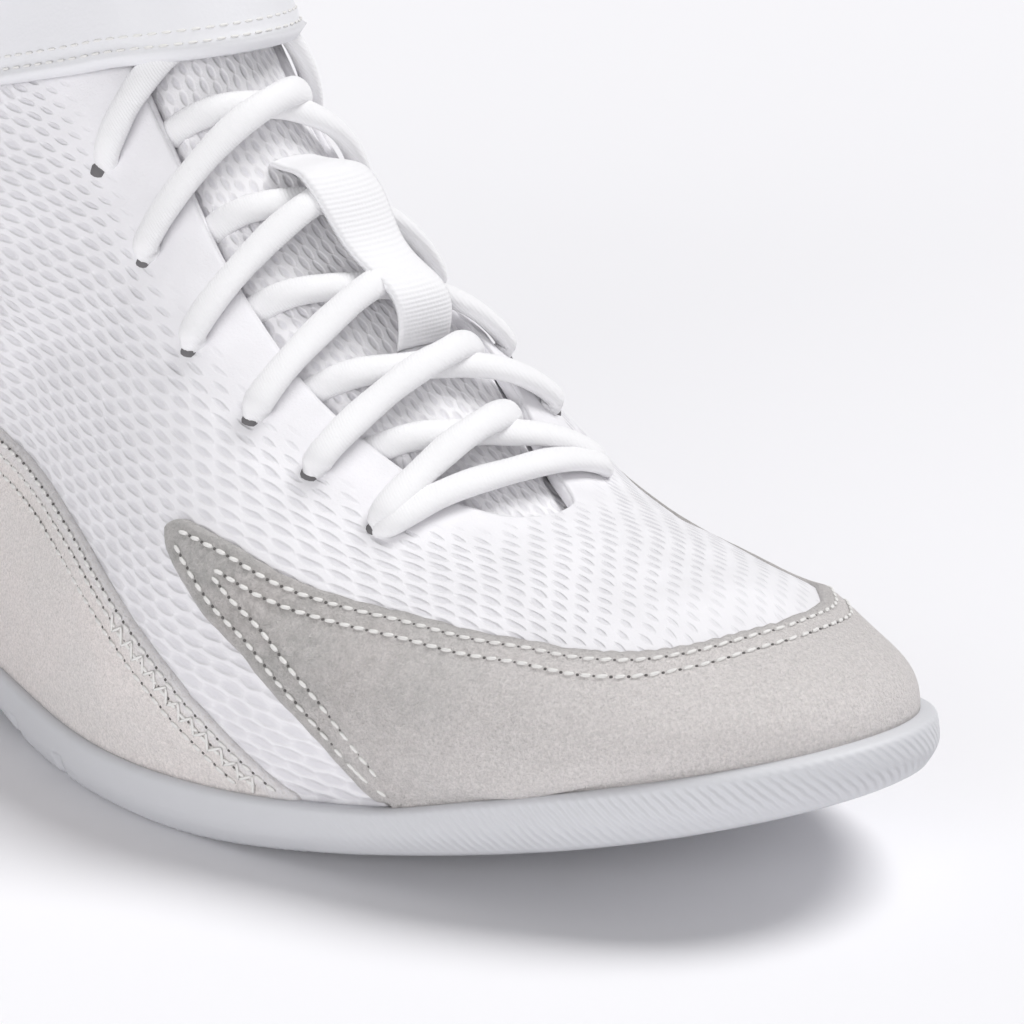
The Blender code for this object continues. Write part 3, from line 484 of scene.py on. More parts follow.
def holeGroup():
    # rows of slanted ovals, every second row moved half a step, each oval closing as Open falls
    group = bpy.data.node_groups.new("openCloth", "ShaderNodeTree")
    for label, kind, value in (("Vector", "NodeSocketVector", None), ("Along", "NodeSocketFloat", 5.8),
                               ("Across", "NodeSocketFloat", 2.6), ("Slant", "NodeSocketFloat", 0.1),
                               ("Open", "NodeSocketFloat", 1.0)):
        socket = group.interface.new_socket(label, in_out="INPUT", socket_type=kind)
        if value is not None:
            socket.default_value = value
    group.interface.new_socket("Hole", in_out="OUTPUT", socket_type="NodeSocketFloat")
    group.interface.new_socket("Height", in_out="OUTPUT", socket_type="NodeSocketFloat")
    inputs = addNode(group, "NodeGroupInput")
    outputs = addNode(group, "NodeGroupOutput")
    vector, alongPitch, acrossPitch, slant, opening = inputs.outputs[:5]
    parts = addNode(group, "ShaderNodeSeparateXYZ")
    group.links.new(vector, parts.inputs[0])

    def calc(operation, a, b=None):
        return mathNode(group, operation, a, b)

    def shake(scale, size):
        # noise about zero, in millimetres
        return calc("MULTIPLY", calc("SUBTRACT", noise(group, vector, scale, 1.0), 0.5), size)

    broad = shake(0.07, 2.0)
    x = calc("ADD", parts.outputs[0], broad)
    y = calc("ADD", calc("ADD", parts.outputs[1], broad), shake(0.4, 0.45))
    v = calc("DIVIDE", calc("ADD", y, calc("MULTIPLY", x, slant)), acrossPitch)
    along = calc("DIVIDE", calc("SUBTRACT", x, calc("MULTIPLY", y, slant)), alongPitch)
    line = calc("FLOOR", v)
    fromMiddle = calc("SUBTRACT", calc("SUBTRACT", v, line), 0.5)
    u = calc("ADD", along, calc("MULTIPLY", calc("FLOORED_MODULO", line, 2.0), 0.5))
    u = calc("SUBTRACT", calc("SUBTRACT", u, calc("FLOOR", u)), 0.5)
    u = calc("ADD", u, calc("MULTIPLY", fromMiddle, 0.16))
    size = calc("MAXIMUM", opening, 0.62)
    wide = calc("DIVIDE", calc("ABSOLUTE", u), calc("MULTIPLY", size, 0.365))
    tall = calc("DIVIDE", calc("ABSOLUTE", fromMiddle), calc("MULTIPLY", size, 0.245))
    shape = calc("ADD", calc("POWER", wide, 2.0), calc("POWER", tall, 1.8))
    # the hole mask also carries the painted shade of the hole floors, fading as Open falls
    shown = remap(group, opening, 0.0, 0.80)
    hole = calc("MULTIPLY", remap(group, shape, 1.60, 0.30), shown)
    sunk = calc("MULTIPLY", calc("SUBTRACT", 1.0, remap(group, shape, 0.20, 2.6)), shown)
    group.links.new(hole, outputs.inputs[0])
    group.links.new(calc("SUBTRACT", 1.0, sunk), outputs.inputs[1])
    return group


clothHoles = holeGroup()

# Cloth of the upper: white knit, long holes whose grey floors are partly the inner layer and partly painted
# shade, knit grain
clothLook = {
    "white": (0.835, 0.825, 0.85), "holeFloorAndShadeGrey": (0.725, 0.715, 0.745), "holeLong": 5.3, "holeShort": 2.60,
    "slant": 0.22, "depth": 0.00026, "grain": 0.00012, "roughness": 0.78,
}


def clothMaterial(name, look):
    material, tree, shader = newMaterial(name, look["white"], look["roughness"], {
        "Sheen Weight": 0.12, "Subsurface Weight": 0.06, "Subsurface Radius": (0.002, 0.002, 0.002)})
    holes = addNode(tree, "ShaderNodeGroup", node_tree=clothHoles)
    tree.links.new(attribute(tree, "flat", vector=True), holes.inputs["Vector"])
    tree.links.new(attribute(tree, "open"), holes.inputs["Open"])
    for key, value in (("Along", "holeLong"), ("Across", "holeShort"), ("Slant", "slant")):
        holes.inputs[key].default_value = look[value]
    mm = objectPoint(tree, 1000.0)
    knit = noise(tree, mm, 2.4, 3.0, 0.6)
    # hole floors: partly the inner layer's own grey, partly painted shade in the hollows of the knit
    colour = mixColour(tree, holes.outputs["Hole"], look["white"], look["holeFloorAndShadeGrey"])
    # painted shade: the cloth turns near black in each eyelet dimple
    colour = mixColour(tree, attribute(tree, "dark"), colour, (0.10, 0.10, 0.11))
    tint = remap(tree, noise(tree, mm, 0.12, 2.0), 0.3, 0.7, 0.97, 1.03, smooth=False)
    colour = mixColour(tree, 1.0, colour, tintColour(tree, tint), blend="MULTIPLY")
    tree.links.new(colour, shader.inputs["Base Color"])
    addBumps(tree, shader, (holes.outputs["Height"], look["depth"], 1.0), (knit, look["grain"], 0.7))
    return material


def tintColour(tree, value):
    node = addNode(tree, "ShaderNodeCombineColor")
    for k in range(3):
        tree.links.new(value, node.inputs[k])
    return node.outputs[0]


meshCloth = clothMaterial("whiteMesh", clothLook)

# Throat edge, eyestay edge and eyelets on the last, the same tables as the solids
throatTable = np.array([
    [6.38, 0.500], [6.42, 0.485], [6.52, 0.471], [6.80, 0.457], [7.25, 0.444], [7.85, 0.428],
    [8.60, 0.412], [9.50, 0.403], [10.40, 0.398], [11.60, 0.401], [13.00, 0.403], [16.00, 0.405],
    [19.00, 0.408], [21.00, 0.410],
])
eyestayTable = np.array([
    [5.90, 0.500], [5.94, 0.475], [6.06, 0.445], [6.35, 0.415], [6.80, 0.385], [7.40, 0.360],
    [8.20, 0.346], [9.10, 0.328], [10.00, 0.314], [11.00, 0.310], [12.50, 0.316], [16.00, 0.322],
    [19.00, 0.326], [21.00, 0.328],
])
eyelets = np.array([
    [7.20, 0.394], [7.99, 0.384], [8.74, 0.371], [9.67, 0.352], [10.71, 0.350], [11.88, 0.355],
])
edgeEntries = np.array([7.86, 8.61, 9.53, 10.41, 11.55])
throatEdge, eyestayEdge = edgeCurve(throatTable), edgeCurve(eyestayTable)
throatStart = throatTable[0, 0]
eyeletPoints = np.concatenate([lastPoint(eyelets[:, 0], mirrored(eyelets[:, 1], inner))
                               for inner in (False, True)])


def throatSide(rows):
    # the throat edge, and the ridge in front of the throat
    return np.where(rows < throatStart, 0.5, throatEdge(rows))


# The upper: one skin outside and one inside, with a rounded throat edge
upperShape = {
    "rowsBelow": 96, "rowsTurn": 26, "rowsAbove": 150, "columns": 66, "rimPlace": 0.0032,
    "dimpleDepth": 0.0010, "dimpleWidth": 0.0017, "creaseDepth": 0.00035,
}

# Soft creases listed one by one, columns: start row, start place, end row, end place, width in metres,
# share of the full depth
creases = np.array([
    [6.9, 0.20, 6.2, 0.36, 0.0040, 1.0], [7.9, 0.17, 7.3, 0.31, 0.0045, 0.7],
    [9.4, 0.18, 8.7, 0.29, 0.0050, 0.8], [11.6, 0.20, 10.6, 0.28, 0.0055, 1.0],
    [12.8, 0.17, 12.0, 0.30, 0.0060, 1.2], [13.8, 0.10, 13.2, 0.26, 0.0060, 1.2],
    [15.2, 0.14, 14.6, 0.28, 0.0060, 1.0], [18.2, 0.05, 17.6, 0.20, 0.0070, 1.2],
])


def creaseLift(points):
    # troughs with a bell section and faded ends, the same on both sides of the foot
    lift = np.zeros(points.shape[:-1])
    for startRow, startPlace, endRow, endPlace, width, share in creases:
        part = np.linspace(0.0, 1.0, 24)
        for inner in (False, True):
            place = mirrored(startPlace + (endPlace - startPlace) * part, inner)
            line = lastPoint(startRow + (endRow - startRow) * part, place)
            gap = nearDistance(points, line)
            middle = nearDistance(points, line[8:16])
            reach = np.linalg.norm(line[0] - line[-1]) * 0.5
            lift -= upperShape["creaseDepth"] * share * bell(middle, max(reach, 1e-4)) * bell(gap, width)
    return lift


def openness(row, place, point):
    # how open the knit is: closed along the throat and over the toes, widest low on the side
    share = lengthShare(point[..., 0])
    up = np.minimum(place, 1.0 - place)
    band = smoothStep(-0.006, 0.054, eyestayEdge(np.maximum(row, 5.9)) + 0.052 - up)
    band = np.where(row < 5.9, 1.0, band)
    band = np.where(row < 7.2, np.maximum(band, 1.0 - smoothStep(6.0, 6.8, row)), band)
    toe = 1.0 - 0.45 * smoothStep(0.80, 0.90, share)
    low = 0.90 + 0.34 * smoothStep(0.26, 0.12, up) * smoothStep(0.45, 0.62, share)
    crest = 1.0 - 0.22 * smoothStep(0.34, 0.46, up) * smoothStep(0.70, 0.78, share)
    return np.clip(band * toe * low * crest, 0.0, 1.2)


def eyeletDimple(surface):
    return bell(nearDistance(surface, eyeletPoints), upperShape["dimpleWidth"])


def clothFields(row, place, surface, dimple):
    # flat coordinates, openness of the knit, and painted shade that turns the cloth near black in each eyelet
    # dimple
    return {"flat": clothPlane(row, place), "open": openness(row, place, surface),
            "dark": np.clip(dimple * 1.5 - 0.45, 0.0, 0.9)}


def plainCloth(grid):
    # hidden faces: plain coordinates in millimetres and no holes
    blank = np.zeros(grid.shape[:2])
    return grid, {"flat": grid * 1000.0, "open": blank, "dark": blank}


def addSkirt(skin, onSole):
    # one more column and one more row, down inside the sole
    low = skin[:, :1].copy()
    low[onSole, 0, 2] -= lastSize["skirt"]
    skin = np.concatenate([low, skin], axis=1)
    toe = skin[:1].copy()
    toe[..., 1:, 2] -= lastSize["skirt"]
    return np.concatenate([toe, skin])


def repeatBorder(value):
    # first row and column twice, because the skirt adds one of each
    return np.pad(value, ((1, 0), (1, 0)) + ((0, 0),) * (value.ndim - 2), mode="edge")


def buildUpper():
    # rows crowd where the throat begins; each half runs from the foot to the ridge or the throat edge
    shape = upperShape
    rows = np.concatenate([
        np.linspace(0.0, throatStart, shape["rowsBelow"]),
        throatStart + 0.42 * np.linspace(0.0, 1.0, shape["rowsTurn"])[1:] ** 2,
        np.linspace(throatStart + 0.42, lastRow, shape["rowsAbove"])[1:],
    ])
    rows[np.argmin(np.abs(rows - lastSize["heelRow"]))] = lastSize["heelRow"]
    part = np.linspace(0.0, 1.0, shape["columns"])
    part = part + 0.04 * np.sin(2.0 * math.pi * part) / (2.0 * math.pi)
    edge = throatSide(rows)
    first = shape["rowsBelow"] - 1
    turn = np.linspace(0.0, math.pi, 9)
    onSole = rows <= lastSize["heelRow"]
    parts = []
    for inner in (False, True):
        row, place = rows[:, None] + 0.0 * part, mirrored(edge[:, None] * part, inner)
        surface = lastPoint(row, place)
        dimple = eyeletDimple(surface)
        outerSkin = addSkirt(onLast(row, place, creaseLift(surface) - shape["dimpleDepth"] * dimple), onSole)
        innerSkin = addSkirt(onLast(row, place, -lastSize["wall"]), onSole)
        values = {key: repeatBorder(value) for key, value in clothFields(row, place, surface, dimple).items()}
        # the throat edge turns in a half circle from the outer skin to the inner one
        grow = smoothStep(throatStart, throatStart + 0.1, rows[first:])
        rimPlace = edge[first:, None] + np.sin(turn) * shape["rimPlace"] * grow[:, None]
        rimLift = -lastSize["wall"] * (1.0 - np.cos(turn)) * 0.5
        rim = onLast(rows[first:, None] + 0.0 * turn, mirrored(rimPlace, inner), rimLift + 0.0 * rimPlace)
        rim[:, 0], rim[:, -1] = outerSkin[first + 1:, -1], innerSkin[first + 1:, -1]
        plain = shell(outerSkin, innerSkin, sides=("left", "start", "end"))[1:] + [(rim, {})]
        parts += [(outerSkin, values)] + [plainCloth(grid) for grid, _ in plain]
    piece = meshFromGrids("upperShell", parts, meshCloth)
    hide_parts("upper")


buildUpper()
print("upper built")

# Eyestay: thin smooth layer round the throat, sunk at its outer edge so that the knit fades into it
eyestayShape = {
    "rows": 190, "columns": 22, "firstRow": 5.90, "lastRow": 15.3,
    "lift": 0.00042, "sunk": 0.00008, "under": 0.0005,
}


def buildEyestay():
    # a band between the eyestay edge and the throat edge, lifted by a fade in from its outer edge and both
    # ends
    shape = eyestayShape
    rows = np.concatenate([shape["firstRow"] + 0.5 * np.linspace(0.0, 1.0, 40) ** 2,
                           np.linspace(6.42, shape["lastRow"], shape["rows"])])
    outerEdge = eyestayEdge(rows)
    innerEdge = throatSide(rows)
    part = np.linspace(0.0, 1.0, shape["columns"])
    first = int(np.searchsorted(rows, throatStart))
    parts = []
    for inner in (False, True):
        row = rows[:, None] + 0.0 * part[None, :]
        place = mirrored(outerEdge[:, None] + (innerEdge - outerEdge)[:, None] * part, inner)
        surface = lastPoint(row, place)
        dimple = eyeletDimple(surface)
        fade = smoothStep(0.0, 0.65, part) * smoothStep(shape["firstRow"], 6.6, row)
        fade = fade * smoothStep(shape["lastRow"], 14.4, row)
        lift = creaseLift(surface) - upperShape["dimpleDepth"] * dimple
        lift = lift + shape["lift"] * fade - shape["sunk"] * (1.0 - fade)
        top, under = onLast(row, place, lift), onLast(row, place, -shape["under"])
        values = clothFields(row, place, surface, dimple)
        parts += shell(top, under, values, ("left", "start", "end"))
        # the side towards the throat is closed only where the throat is open
        cutValues = {key: value[first:] for key, value in values.items()}
        parts += shell(top[first:], under[first:], cutValues, ("right",))[2:]
    piece = meshFromGrids("eyestayBand", parts, meshCloth)
    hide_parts("eyestay")


buildEyestay()
print("eyestay built")


def sideFinder():
    # fine table of the outer and the inner half, searched for the row and place of a side view point
    rows = np.linspace(0.0, 18.6, 931)
    places = np.linspace(0.0, 0.5, 251)
    gridRow, gridPlace = np.meshgrid(rows, places, indexing="ij")
    halves = {}
    for inner in (False, True):
        points = lastPoint(gridRow, mirrored(gridPlace, inner))
        halves[inner] = (lengthShare(points[..., 0]), points[..., 2] / lastSize["collarHeight"])

    def find(shareX, shareZ, inner):
        x, z = halves[inner]
        found = []
        for px, pz in zip(np.atleast_1d(shareX), np.atleast_1d(shareZ)):
            gap = ((x - px) * lastSize["length"]) ** 2 + ((z - pz) * lastSize["collarHeight"]) ** 2
            k = int(np.argmin(gap))
            found.append((gridRow.ravel()[k], gridPlace.ravel()[k]))
        return np.array(found)

    return find


findOnSide = sideFinder()


def curveOnSide(table, count, inner):
    # outline points turned into rows and places, evened out along their length
    reach = pathLength(table)
    even = splineThrough(reach, table, np.linspace(0.0, reach[-1], count))
    found = findOnSide(even[:, 0], even[:, 1], inner)
    kernel = np.hanning(11)[1:-1]
    kernel /= kernel.sum()
    half = len(kernel) // 2
    result = found.copy()
    for k in range(2):
        padded = np.concatenate([2.0 * found[0, k] - found[half:0:-1, k], found[:, k],
                                 2.0 * found[-1, k] - found[-2:-half - 2:-1, k]])
        result[:, k] = np.convolve(padded, kernel, mode="valid")
    return result


def stretchTo(curve, count):
    # the same curve with count even steps in space
    return stretchPath(curve, pathLength(lastPoint(curve[:, 0], curve[:, 1])), count)


# Suede overlays: colour, nap, cut edge, and painted light that makes the toe front paler
suedeLook = {
    "warm": (0.550, 0.517, 0.502), "cool": (0.480, 0.469, 0.455), "rim": (0.500, 0.485, 0.474),
    "pale": (0.88, 0.835, 0.82), "napSize": 2.1, "nap": 0.00050, "mottle": 0.42, "roughness": 0.92,
    "thickness": 0.0013, "cutEdge": 0.0002, "groove": 0.00022, "grooveWidth": 0.0006, "footDrop": 0.0010,
    "front": 0.95,
}


def suedeMaterial(name, look):
    material, tree, shader = newMaterial(name, look["warm"], look["roughness"], {
        "Sheen Weight": 0.35, "Sheen Roughness": 0.55, "Specular IOR Level": 0.15})
    mm = objectPoint(tree, 1000.0)
    cloud = remap(tree, noise(tree, mm, 0.045, 3.0), 0.40, 0.62)
    patch = remap(tree, noise(tree, mm, 0.45, 3.0, 0.6), 0.30, 0.70)
    nap = noise(tree, mm, look["napSize"], 4.0, 0.75)
    fibre = noise(tree, mm, look["napSize"] * 0.35, 5.0, 0.8)
    parts = addNode(tree, "ShaderNodeSeparateXYZ")
    tree.links.new(mm, parts.inputs[0])
    # painted light: the suede turns paler towards the toe front, where more light falls
    front = mathNode(tree, "MULTIPLY", remap(tree, parts.outputs[0], 48.0, 116.0), look["front"])
    rimMask = mathNode(tree, "MULTIPLY", remap(tree, attribute(tree, "edge"), 3.2, 0.6), 0.40)
    frayed = mathNode(tree, "MULTIPLY", attribute(tree, "frayed"), remap(tree, nap, 0.35, 0.62, 0.35, 1.0))
    speck = tintColour(tree, remap(tree, nap, 0.30, 0.72, 0.78, 1.16, smooth=False))
    colour = mixColour(tree, cloud, look["warm"], look["cool"])
    colour = mixColour(tree, mathNode(tree, "MULTIPLY", patch, look["mottle"]), colour, look["pale"])
    colour = mixColour(tree, front, colour, look["pale"])
    colour = mixColour(tree, 1.0, colour, speck, blend="MULTIPLY")
    colour = mixColour(tree, rimMask, colour, look["rim"])
    colour = mixColour(tree, frayed, colour, clothLook["white"])
    tree.links.new(colour, shader.inputs["Base Color"])
    addBumps(tree, shader, (fibre, look["nap"] * 2.2, 0.6), (nap, look["nap"], 0.9))
    return material


# a paler copy of the grey suede for the heel counter: its lighter colours are painted light that makes up for
# the dimmer light on the heel side
counterPaintedLightLook = dict(
    suedeLook, warm=(0.910, 0.845, 0.820), cool=(0.860, 0.812, 0.790), rim=(0.850, 0.810, 0.790),
    pale=(0.92, 0.87, 0.85), nap=0.00035, front=0.0,
)
capSuede, counterPaintedLightSuede = suedeMaterial("greySuedeToe", suedeLook), suedeMaterial("greySuedeHeelPaintedLight", counterPaintedLightLook)
stitchRows, crossRows = [], []


def overlayGrid(lower, upperCurve, inner, steps):
    # straight lines in row and place from the lower curve to the upper one
    part = np.linspace(0.0, 1.0, steps)[None, :, None]
    grid = lower[:, None, :] * (1.0 - part) + upperCurve[:, None, :] * part
    return grid[..., 0], mirrored(grid[..., 1], inner)


def contourPoints(rows, places, gap, distance, fromTop):
    # where the distance from the cut edge first reaches a value along each line of the overlay
    found = []
    for i in range(rows.shape[0]):
        order = range(rows.shape[1] - 1, 0, -1) if fromTop else range(rows.shape[1] - 1)
        step = -1 if fromTop else 1
        for j in order:
            a, b = gap[i, j], gap[i, j + step]
            if a < distance <= b:
                part = (distance - a) / (b - a)
                found.append((rows[i, j] + (rows[i, j + step] - rows[i, j]) * part,
                              places[i, j] + (places[i, j + step] - places[i, j]) * part))
                break
    return np.array(found).reshape(-1, 2)


def overlaySkin(rows, places, openEdge, shape, onFoot):
    # thickness rises from the cut edge in a quarter round, with a shallow groove under each stitch row;
    # the distance from the cut edge is kept as a field
    gap = nearDistance(lastPoint(rows, places), openEdge)
    look = suedeLook
    low, thick = look["cutEdge"], look["thickness"]
    lift = low + (thick - low) * quarterRound(gap / (thick * 0.8))
    for distance in shape["stitch"]:
        lift = lift - look["groove"] * bell(gap - distance, look["grooveWidth"])
    outer, under = onLast(rows, places, lift), onLast(rows, places, shape["under"])
    drop = np.where(onFoot(np.minimum(places, 1.0 - places), rows), look["footDrop"], 0.0)
    outer[..., 2] -= drop
    under[..., 2] -= drop
    values = {"edge": gap * 1000.0, "frayed": shape["frayed"] * smoothStep(0.0040, 0.0012, gap)}
    return shell(outer, under, values, ("left", "right", "start")), gap


# Outlines in side view, columns: x as a share of the length, z as a share of the collar height
capTop = np.array([
    [0.6188, 0.2915], [0.6200, 0.2980], [0.6275, 0.3032], [0.6410, 0.2998], [0.6630, 0.2889],
    [0.6860, 0.2726], [0.7295, 0.2530], [0.7770, 0.2475], [0.8110, 0.2435], [0.8352, 0.2435],
    [0.8610, 0.2430], [0.8811, 0.2438], [0.8974, 0.2460], [0.9081, 0.2498], [0.9157, 0.2531],
])
capRear = np.array([
    [0.6188, 0.2915], [0.6205, 0.2860], [0.6446, 0.2505], [0.6684, 0.2228], [0.6867, 0.2065],
    [0.7118, 0.1771], [0.7321, 0.1545], [0.7495, 0.1311], [0.7640, 0.1049], [0.7758, 0.0802],
    [0.7850, 0.0680],
])
capShape = {"lines": 150, "steps": 34, "stitch": (0.0020, 0.0047), "under": -0.0004,
            "frayed": 0.0, "innerDrop": 0.022}


def buildCap():
    # lines run from the rear edge, the feather edge and the toe up to the top edge
    shape = capShape
    third = shape["lines"] // 3
    splits = [0.0, 0.36, 0.72, 1.0]
    thread = suedeLook["thickness"] - 0.0002
    parts = []
    for inner in (False, True):
        table = capTop.copy()
        if inner:
            ends = smoothStep(0.880, 0.840, table[:, 0]) * smoothStep(0.62, 0.68, table[:, 0])
            table[:, 1] -= shape["innerDrop"] * ends
        top, rear = curveOnSide(table, 220, inner), curveOnSide(capRear, 140, inner)
        top[-1, 1] = 0.5
        rear[0] = top[0]
        rear[-1, 1] = 0.0
        feather = np.stack([np.linspace(rear[-1, 0], 0.0, 60), np.zeros(60)], axis=-1)
        front = np.stack([np.zeros(60), np.linspace(0.0, 0.5, 60)], axis=-1)
        reach = pathLength(lastPoint(top[:, 0], top[:, 1]))
        lower, upperCurve = [], []
        for k, piece in enumerate((rear, feather, front)):
            span = np.linspace(splits[k], splits[k + 1], third + 1) * reach[-1]
            lower.append(stretchTo(piece, third + 1)[min(k, 1):])
            upperCurve.append(readAlong(span, reach, top)[min(k, 1):])
        rows, places = overlayGrid(np.concatenate(lower), np.concatenate(upperCurve), inner, shape["steps"])
        openEdge = np.concatenate([resamplePath(lastPoint(curve[:, 0], mirrored(curve[:, 1], inner)), count)
                                   for curve, count in ((top, 400), (rear, 260))])
        skin, gap = overlaySkin(rows, places, openEdge, shape, lambda foot, row: (foot < 1e-6) | (row < 1e-6))
        parts += skin
        rearLines = slice(0, third + 4)
        for distance in shape["stitch"]:
            stitchRows.append((contourPoints(rows, places, gap, distance, True), thread))
            rearRow = contourPoints(rows[rearLines], places[rearLines], gap[rearLines], distance, False)
            stitchRows.append((rearRow, thread))
    piece = meshFromGrids("toeCapSuede", parts, capSuede)
    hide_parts("toe_cap")


buildCap()
print("toe cap built")

counterTop = np.array([
    [0.7300, 0.0600], [0.7025, 0.0975], [0.6845, 0.1215], [0.6635, 0.1475], [0.6365, 0.1770],
    [0.6000, 0.2120], [0.5530, 0.2460], [0.4925, 0.2800], [0.4365, 0.3040], [0.3000, 0.3400],
    [0.1500, 0.3750], [0.0600, 0.3920], [0.0100, 0.4020],
])
counterShape = {"lines": 170, "steps": 30, "stitch": (0.0012, 0.0032, 0.0058), "under": -0.0004,
                "frayed": 0.75, "zigzag": 0.0030}


def buildCounter():
    # lines run from the feather edge up to the top edge, which ends on the heel seam
    shape = counterShape
    seamRows = np.linspace(16.0, 19.0, 400)
    seamRow = float(np.interp(0.404 * lastSize["collarHeight"], lastPoint(seamRows, 0.0)[:, 2], seamRows))
    parts = []
    for inner in (False, True):
        top = curveOnSide(counterTop, 140, inner)
        top[0, 1] = 0.0
        top[-1] = (seamRow, 0.0)
        top[-2] = 0.5 * (top[-3] + top[-1])
        top = stretchTo(top, shape["lines"])
        foot = np.stack([np.linspace(top[0, 0], lastSize["heelRow"], 120), np.zeros(120)], axis=-1)
        rows, places = overlayGrid(stretchTo(foot, shape["lines"]), top, inner, shape["steps"])
        openEdge = resamplePath(lastPoint(top[:, 0], mirrored(top[:, 1], inner)), 600)
        skin, gap = overlaySkin(rows, places, openEdge, shape,
                                lambda foot, row: (foot < 1e-6) & (row <= lastSize["heelRow"] + 1e-6))
        parts += skin
        zigzag = contourPoints(rows, places, gap, shape["zigzag"], True)
        frontPart = (zigzag[:, 0] > 6.9) & (zigzag[:, 0] < 8.9)
        crossRows.append((zigzag[frontPart], suedeLook["thickness"] - 0.0001))
        for distance in shape["stitch"]:
            stitchRow = contourPoints(rows, places, gap, distance, True)
            stitchRows.append((stitchRow, suedeLook["thickness"] - 0.0002))
    piece = meshFromGrids("heelCounterSuede", parts, counterPaintedLightSuede)
    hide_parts("heel_counter")


buildCounter()
print("counter built")

# Stitches: small spindles, with a dark spindle of painted shade for the needle hole at each end
stitchLook = {
    "pitch": 0.0025, "length": 0.00195, "width": 0.00068, "lift": 0.00020, "lean": 0.10, "sides": 6,
    "hole": 0.00031, "crossPitch": 0.0016, "crossLength": 0.0036, "crossLift": 0.00022,
}


def threadMaterial():
    material, tree, shader = newMaterial("whiteThread", (0.80, 0.79, 0.77), 0.6)
    addBumps(tree, shader, (noise(tree, objectPoint(tree, 1000.0), 4.0, 2.0), 0.0001, 1.0))
    return material


def spindle(centre, along, up, length, width):
    # six rings whose width follows a half circle
    side = np.cross(along, up)
    at = np.linspace(-1.0, 1.0, 6)
    size = np.sqrt(np.clip(1.0 - at ** 2, 0.0, 1.0)) ** 0.7
    turn = np.linspace(0.0, 2.0 * math.pi, stitchLook["sides"] + 1)
    ring = side[None, :] * np.cos(turn)[:, None] + up[None, :] * np.sin(turn)[:, None] * 0.8
    grid = (centre + along[None, None, :] * (at * length * 0.5)[:, None, None]
            + ring[None, :, :] * (size * width * 0.5)[:, None, None])
    grid[:, -1] = grid[:, 0]
    return grid


def rowFrames(path, lift, pitch):
    # even steps along a row, with direction and outward normal at each
    points = onLast(path[:, 0], path[:, 1], lift)
    reach = pathLength(points)
    kernel = np.hanning(9)[1:-1] / np.hanning(9)[1:-1].sum()
    count = max(int(reach[-1] / pitch), 2)
    at = (np.arange(count) + 0.5) * reach[-1] / count
    smooth = np.stack([np.convolve(np.pad(points[:, k], 3, mode="edge"), kernel, mode="valid")
                       for k in range(3)], axis=-1)
    smooth[0], smooth[-1] = points[0], points[-1]
    centres = readAlong(at, reach, smooth)
    along = unit(np.gradient(centres, axis=0))
    return centres, along, squareTo(lastNormal(*readAlong(at, reach, path).T), along)


def buildStitches():
    # a spindle of thread at each step of a row and a dark one of painted shade for the needle hole between
    # two; the crossed rows lean to and fro
    rng = np.random.default_rng(7)
    threads, holes = [], []
    look = stitchLook
    for path, lift in stitchRows:
        if len(path) < 6:
            continue
        centres, along, normal = rowFrames(path, lift, look["pitch"])
        for k in range(len(centres)):
            lean = unit(along[k] + np.cross(normal[k], along[k]) * (look["lean"] + rng.uniform(-0.06, 0.06)))
            threads.append(spindle(centres[k] + normal[k] * look["lift"], lean, normal[k],
                                   look["length"] * rng.uniform(0.94, 1.06), look["width"]))
            if k + 1 < len(centres):
                middle = 0.5 * (centres[k] + centres[k + 1])
                holes.append(spindle(middle, along[k], normal[k], look["hole"] * 1.9, look["hole"] * 1.7))
    for path, lift in crossRows:
        centres, along, normal = rowFrames(path, lift, look["crossPitch"])
        for k in range(len(centres)):
            side = np.cross(normal[k], along[k]) * (0.85 if k % 2 else -0.85)
            lean = unit(along[k] * 0.55 + side + normal[k] * rng.uniform(-0.03, 0.03))
            threads.append(spindle(centres[k] + normal[k] * look["crossLift"], lean, normal[k],
                                   look["crossLength"] * rng.uniform(0.85, 1.1), look["width"] * 0.8))
    meshFromGrids("suedeStitches", bare(threads), threadMaterial())
    # painted shade: near-black spindles stand in for the shade in the needle holes
    dark, _, _ = newMaterial("needleHoleShade", (0.13, 0.125, 0.12), 0.95)
    meshFromGrids("needleShadeSpots", bare(holes), dark)


buildStitches()
print("stitches built")

# Padded tongue with long slits
tongueShape = {
    "rows": 190, "columns": 40, "firstRow": 5.2, "low": 0.342, "thickness": 0.0034, "below": 0.0007,
    "puff": 0.0019, "top": 0.012, "lean": 0.0018, "bow": 0.0014, "drop": 0.004, "open": 0.92,
}
tongueLook = {
    "white": (0.89, 0.88, 0.90), "holeFloorAndShadeGrey": (0.77, 0.76, 0.79), "holeLong": 3.0, "holeShort": 1.9,
    "slant": 0.0, "depth": 0.00022, "grain": 0.00010, "roughness": 0.82,
}
tongueCloth = clothMaterial("spacerMesh", tongueLook)


